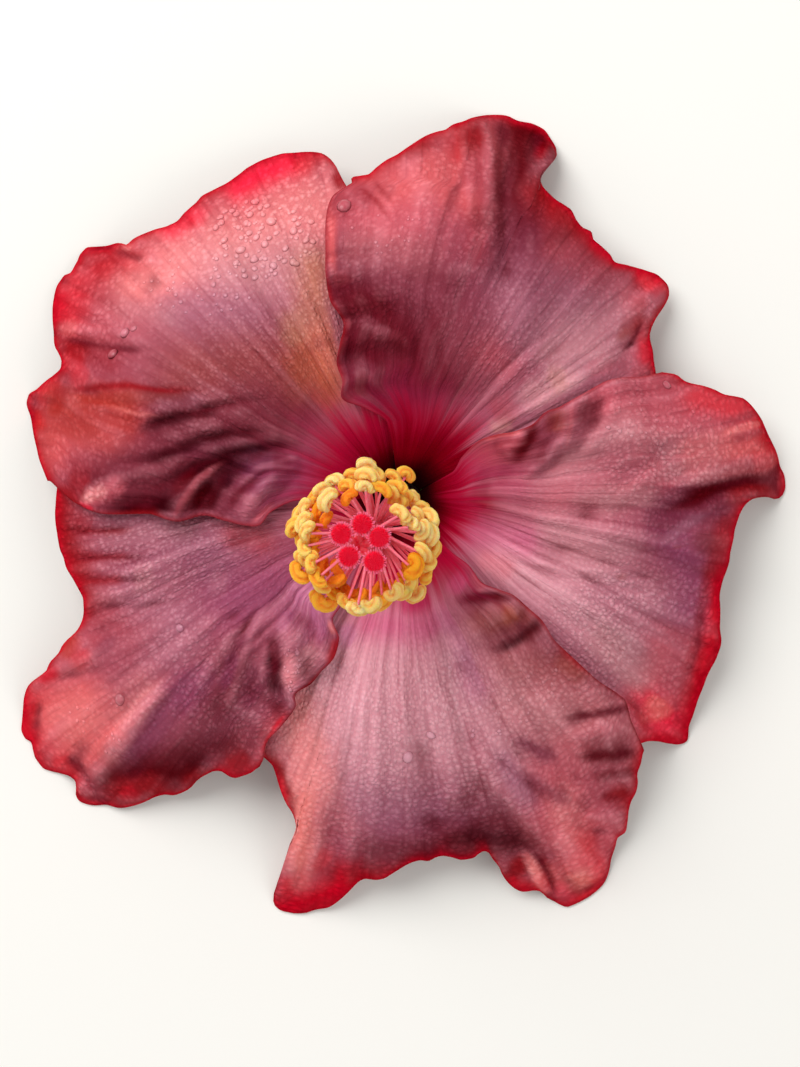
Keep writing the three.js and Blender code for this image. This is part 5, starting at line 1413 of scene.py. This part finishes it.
CALYX_THICKNESS = 0.6
CALYX_TEETH = 5
CALYX_TURN = 31
CALYX_NOTCH = 0.62
CALYX_COLUMNS, CALYX_ROWS = 200, 44
CALYX_OUTLINE = [(4.68, 3.6), (5.7, 5.2), (6.7, 8.4), (8.4, 12.5), (11, 16.6), (15.2, 19.6)]
BRACTS = 7
BRACT_WIDTH = 2.4
BRACT_THICKNESS = (0.42, 0.2)
BRACT_RINGS, BRACT_SIDES = 30, 16
BRACT_OUTLINE = [(2.9, 1.25), (5.5, 1.5), (9, 3.4), (12, 7), (13.6, 11.5)]
RING_SECTION = [(2.2, 0.6), (3.6, 0.6), (3.8, 0.8), (3.8, 1.5), (3.6, 1.7), (2.2, 1.7)]
CALYX_HAIRS, BRACT_HAIRS = (900, 0.6), (500, 0.7)  # how many, and how long
HAIR_RADII = (0.05, 0.035, 0.012)
HAIR_CLEARANCE = 0.1
STALK_SECTION = [
    (1.7, 0), (1.9, 0.15), (1.86, 0.8), (1.9, 1.5), (2, 2.2), (2.35, 2.9), (2.9, 3.4), (3.6, 3.8),
    (3.95, 4.1), (4, 4.6), (3.85, 4.8),
]


def outline_point(outline, share, azimuth):
    """A point on an upright outline, a share of the way up it."""
    place = np.linspace(0, 1, len(outline))
    radii = through(list(zip(place, [r for r, _ in outline])), share)
    heights = through(list(zip(place, [z for _, z in outline])), share)
    return polar(radii, azimuth, heights)


def lathe_rings(section, sides, ripple):
    """Rings about the axis through a section's radii and heights, with nine low ribs."""
    turn = np.linspace(0, 360, sides, endpoint=False)
    return np.array([polar(r * (1 + ripple * np.cos(np.radians(turn * 9))), turn, z) for r, z in section])


def make_calyx():
    """The toothed cup. Returns its outer skin and the ways out of it."""
    azimuth = CALYX_TURN + np.linspace(0, 360, CALYX_COLUMNS, endpoint=False)[None, :]
    share_up = np.linspace(0, 1, CALYX_ROWS)[:, None]
    tooth = 1 - np.abs(2 * ((azimuth - CALYX_TURN) * CALYX_TEETH / 360 % 1) - 1)
    share = share_up * lerp(CALYX_NOTCH, 1, tooth ** 0.8)
    middle = outline_point(CALYX_OUTLINE, share, azimuth)
    step = outline_point(CALYX_OUTLINE, np.minimum(share + 0.01, 1), azimuth)
    step = step - outline_point(CALYX_OUTLINE, np.maximum(share - 0.01, 0), azimuth)
    normal = np.cross(polar(1, azimuth + 90), step)
    normal /= np.linalg.norm(normal, axis=-1, keepdims=True)
    keel = np.exp(-((tooth - 1) / 0.09) ** 2) + 0.6 * np.exp(-(tooth / 0.09) ** 2)
    side_vein = 0.5 * np.exp(-((tooth - 0.5) / 0.06) ** 2)
    relief = (0.2 * (keel + side_vein) + 0.05 * layered_noise(azimuth / 5, share * 12, 3))[..., None]
    half = CALYX_THICKNESS / 2 * lerp(1, 0.45, smoothstep(share_up, 0.8, 1))[..., None]
    outer = middle + normal * (half + relief)
    inner = middle - normal * half
    tint = lerp(PALETTE["leaf"], PALETTE["leaf_dark"], smoothstep(share, 0.05, 0.5)[..., None])
    tint = lerp(tint, PALETTE["leaf_pale"], 0.7 * np.clip(keel + side_vein, 0, 1)[..., None])
    tint = lerp(tint, PALETTE["blush"], 0.6 * smoothstep(share_up, 0.86, 1)[..., None])
    shape = Shape()
    shell = np.concatenate([outer, inner[::-1]])
    tint = np.broadcast_to(tint, outer.shape)
    # Painted shade: the cup's inner face is near black, lightening only towards its teeth.
    inside_shade = lerp(PALETTE["black"], tint, smoothstep(share_up, 0.9, 1)[..., None])
    tints = np.concatenate([tint, inside_shade[::-1], tint[:1]])
    shape.rings(np.concatenate([shell, shell[:1]]), tints, closed=False)
    shape.piece("calyx_cup", GREEN_MATERIAL, "calyx", "sepal")
    return outer.reshape(-1, 3), normal.reshape(-1, 3)


def make_epicalyx():
    """The ring of bracts. Returns their skin and the ways out of it."""
    shape = Shape()
    section = np.array(RING_SECTION + RING_SECTION[:1])
    shape.rings(lathe_rings(section, 60, 0), PALETTE["leaf"], closed=False)
    share = np.linspace(0, 1, BRACT_RINGS)
    skin, outward = [], []
    for k in range(BRACTS):
        azimuth = 360 * (k + 0.5) / BRACTS
        spine = outline_point(BRACT_OUTLINE, share, azimuth)
        way = np.gradient(spine, axis=0)
        side = polar(1, azimuth + 90)
        up = np.cross(side, way)
        up /= np.linalg.norm(up, axis=1, keepdims=True)
        width = BRACT_WIDTH / 2 * np.sqrt(1.02 - share ** 3)
        thick = lerp(*BRACT_THICKNESS, share)
        turn = np.linspace(0, 2 * np.pi, BRACT_SIDES, endpoint=False)
        keel = 1 + 0.5 * np.exp(-((turn - 1.5 * np.pi) / 0.4) ** 2)
        across = np.cos(turn)[None, :, None] * side * width[:, None, None]
        across = across + (np.sin(turn) * keel)[None, :, None] * up[:, None] * thick[:, None, None]
        tint = lerp(PALETTE["leaf"], PALETTE["leaf_dark"], share[:, None])
        tint = lerp(tint, PALETTE["blush"], 0.6 * smoothstep(share, 0.75, 1)[:, None])
        shape.rings(spine[:, None] + across, tint)
        skin.append((spine[:, None] + across)[1:].reshape(-1, 3))
        outward.append((across / np.linalg.norm(across, axis=-1, keepdims=True))[1:].reshape(-1, 3))
    shape.piece("bracts", GREEN_MATERIAL, "epicalyx", "sepal")
    return np.concatenate(skin), np.concatenate(outward)


def make_hairs(places):
    """Short hairs on skins. Each place has its points, their ways out, how many hairs and their length."""
    rng = np.random.default_rng(HAIR_SEED)
    shape = Shape()
    steps = np.array([-0.1, 0.5, 1])[:, None]
    for skin, outward, count, length in places:
        for k in rng.integers(len(skin), size=count):
            way = outward[k] + rng.normal(0, 0.35, 3)
            hair = skin[k] + way / np.linalg.norm(way) * length * rng.uniform(0.6, 1.3) * steps
            if hair[-1, 2] > HAIR_CLEARANCE:
                shape.tube(hair, HAIR_RADII, PALETTE["leaf_pale"], 4)
    shape.piece("hairs", GREEN_MATERIAL, None, "sepal")


def make_pedicel():
    """The cut stalk, down to the floor."""
    shape = Shape()
    section = np.array(STALK_SECTION)
    # Painted shade: the top of the stalk, inside the cup, is near black; the cut end is pale pith.
    tint = np.array([PALETTE["pith" if z < 0.1 else "leaf" if z < 4 else "black"] for _, z in section])
    shape.rings(lathe_rings(section, 90, 0.02), tint)
    shape.piece("stalk", GREEN_MATERIAL, "pedicel", "stalk")


def anther_material():
    g = Graph("anther")
    place = g.place()
    grain = g.cells(place, 5200)
    patch = g.spread(g.noise(place, 900, 3.0), 0.4, 0.7, 0, 0.5)
    colour = g.mix(patch, g.attribute("tint"), PALETTE["anther_bloom"], "MULTIPLY")
    colour = g.mix(g.spread(grain, 0.4, 0.75, 0, 0.16), colour, PALETTE["pollen"])
    normal = g.bump(g.product(grain, -1.0), 0.8, 0.00014)
    return g.finish(
        Base_Color=colour, Normal=normal, Roughness=0.62, Specular_IOR_Level=0.3,
        Subsurface_Weight=0.55, Subsurface_Radius=(1.0, 0.45, 0.1), Subsurface_Scale=0.002,
    )


def flesh_material():
    g = Graph("flesh")
    place = g.place()
    mottle = g.spread(g.noise(place, 1400, 3.0), 0.35, 0.7, 0, 0.35)
    colour = g.mix(mottle, g.attribute("tint"), PALETTE["flesh_mottle"])
    normal = g.bump(g.noise(place, 3000, 2.0), 0.3, 0.0001)
    return g.finish(
        Base_Color=colour, Normal=normal, Roughness=0.4, Specular_IOR_Level=0.4,
        Subsurface_Weight=0.25, Subsurface_Radius=(1.0, 0.3, 0.3), Subsurface_Scale=0.0008,
    )


def stigma_material():
    g = Graph("stigma")
    place = g.place()
    grain = g.cells(place, 4000)
    # Painted shade in the pits between the cells.
    colour = g.mix(g.spread(grain, 0.3, 0.7, 0.0, 0.06), g.attribute("tint"), PALETTE["stigma_pit_shade"])
    normal = g.bump(g.product(grain, -1.0), 0.5, 0.0001)
    return g.finish(
        Base_Color=colour, Normal=normal, Roughness=0.6, Specular_IOR_Level=0.1,
        Subsurface_Weight=0.2, Subsurface_Radius=(1.0, 0.05, 0.1), Subsurface_Scale=0.0006,
    )


def green_material():
    g = Graph("green")
    place = g.place()
    patch = g.spread(g.noise(place, 260, 4.0), 0.35, 0.7, 0, 0.5)
    colour = g.mix(patch, g.attribute("tint"), PALETTE["leaf_wash"], "MULTIPLY")
    cell = g.cells(place, 2600)
    colour = g.mix(g.spread(cell, 0.4, 0.75, 0, 0.5), colour, PALETTE["leaf_cell"], "MULTIPLY")
    ripple = g.bump(g.noise(place, 900, 3.0), 0.3, 0.0004)
    normal = g.bump(g.product(cell, -1.0), 0.4, 0.0002, ripple)
    return g.finish(
        Base_Color=colour, Normal=normal, Roughness=0.55, Specular_IOR_Level=0.35,
        Subsurface_Weight=0.1, Subsurface_Radius=(0.4, 0.8, 0.2), Subsurface_Scale=0.0008,
    )


ANTHER_MATERIAL = anther_material()
FLESH_MATERIAL = flesh_material()
STIGMA_MATERIAL = stigma_material()
GREEN_MATERIAL = green_material()
DEW_MATERIAL = dew_material()
make_dew()
make_stamens()
make_pistil()
make_hairs([(*make_calyx(), *CALYX_HAIRS), (*make_epicalyx(), *BRACT_HAIRS)])
make_pedicel()

# ---- stage -------------------------------------------------------------------------------------

FLOOR_SIZE = 6
FLOOR_HEIGHT = -0.0001  # a hair below the resting points, so that no face lies in the floor's own plane
WORLD_STRENGTH = 0.5


def make_floor():
    bpy.ops.mesh.primitive_plane_add(size=FLOOR_SIZE, location=(0, 0, FLOOR_HEIGHT))
    floor = bpy.context.object
    floor.name = "floor"
    g = Graph("floor")
    floor.data.materials.append(g.finish(Base_Color=PALETTE["floor"], Roughness=0.9))


def make_light(name, place, size, power):
    """A round soft light that looks at the flower: its place and size in metres, its power in watts."""
    data = bpy.data.lights.new(name, "AREA")
    data.shape = "DISK"
    data.size = size
    data.energy = power
    light = bpy.data.objects.new(name, data)
    bpy.context.scene.collection.objects.link(light)
    light.location = place
    light.rotation_euler = (-Vector(place)).to_track_quat("-Z", "Y").to_euler()


def make_camera():
    camera = bpy.data.objects.new("camera", bpy.data.cameras.new("camera"))
    bpy.context.scene.collection.objects.link(camera)
    camera.data.lens = LENS
    camera.data.sensor_width = SENSOR
    camera.data.clip_start = 0.01
    camera.location = AXIS + Vector((*CAMERA_PLACE, CAMERA_HEIGHT)) * MM
    bpy.context.scene.camera = camera


make_floor()
make_light("key", (-0.5, 0.6, 0.9), 0.95, 11.4)
make_light("fill", (0.8, -0.5, 0.8), 0.9, 2)
world = bpy.data.worlds.new("studio")
world.use_nodes = True
world.node_tree.nodes["Background"].inputs[0].default_value = (1, 1, 1, 1)
world.node_tree.nodes["Background"].inputs[1].default_value = WORLD_STRENGTH
bpy.context.scene.world = world
bpy.context.scene.view_settings.view_transform = "Standard"
make_camera()
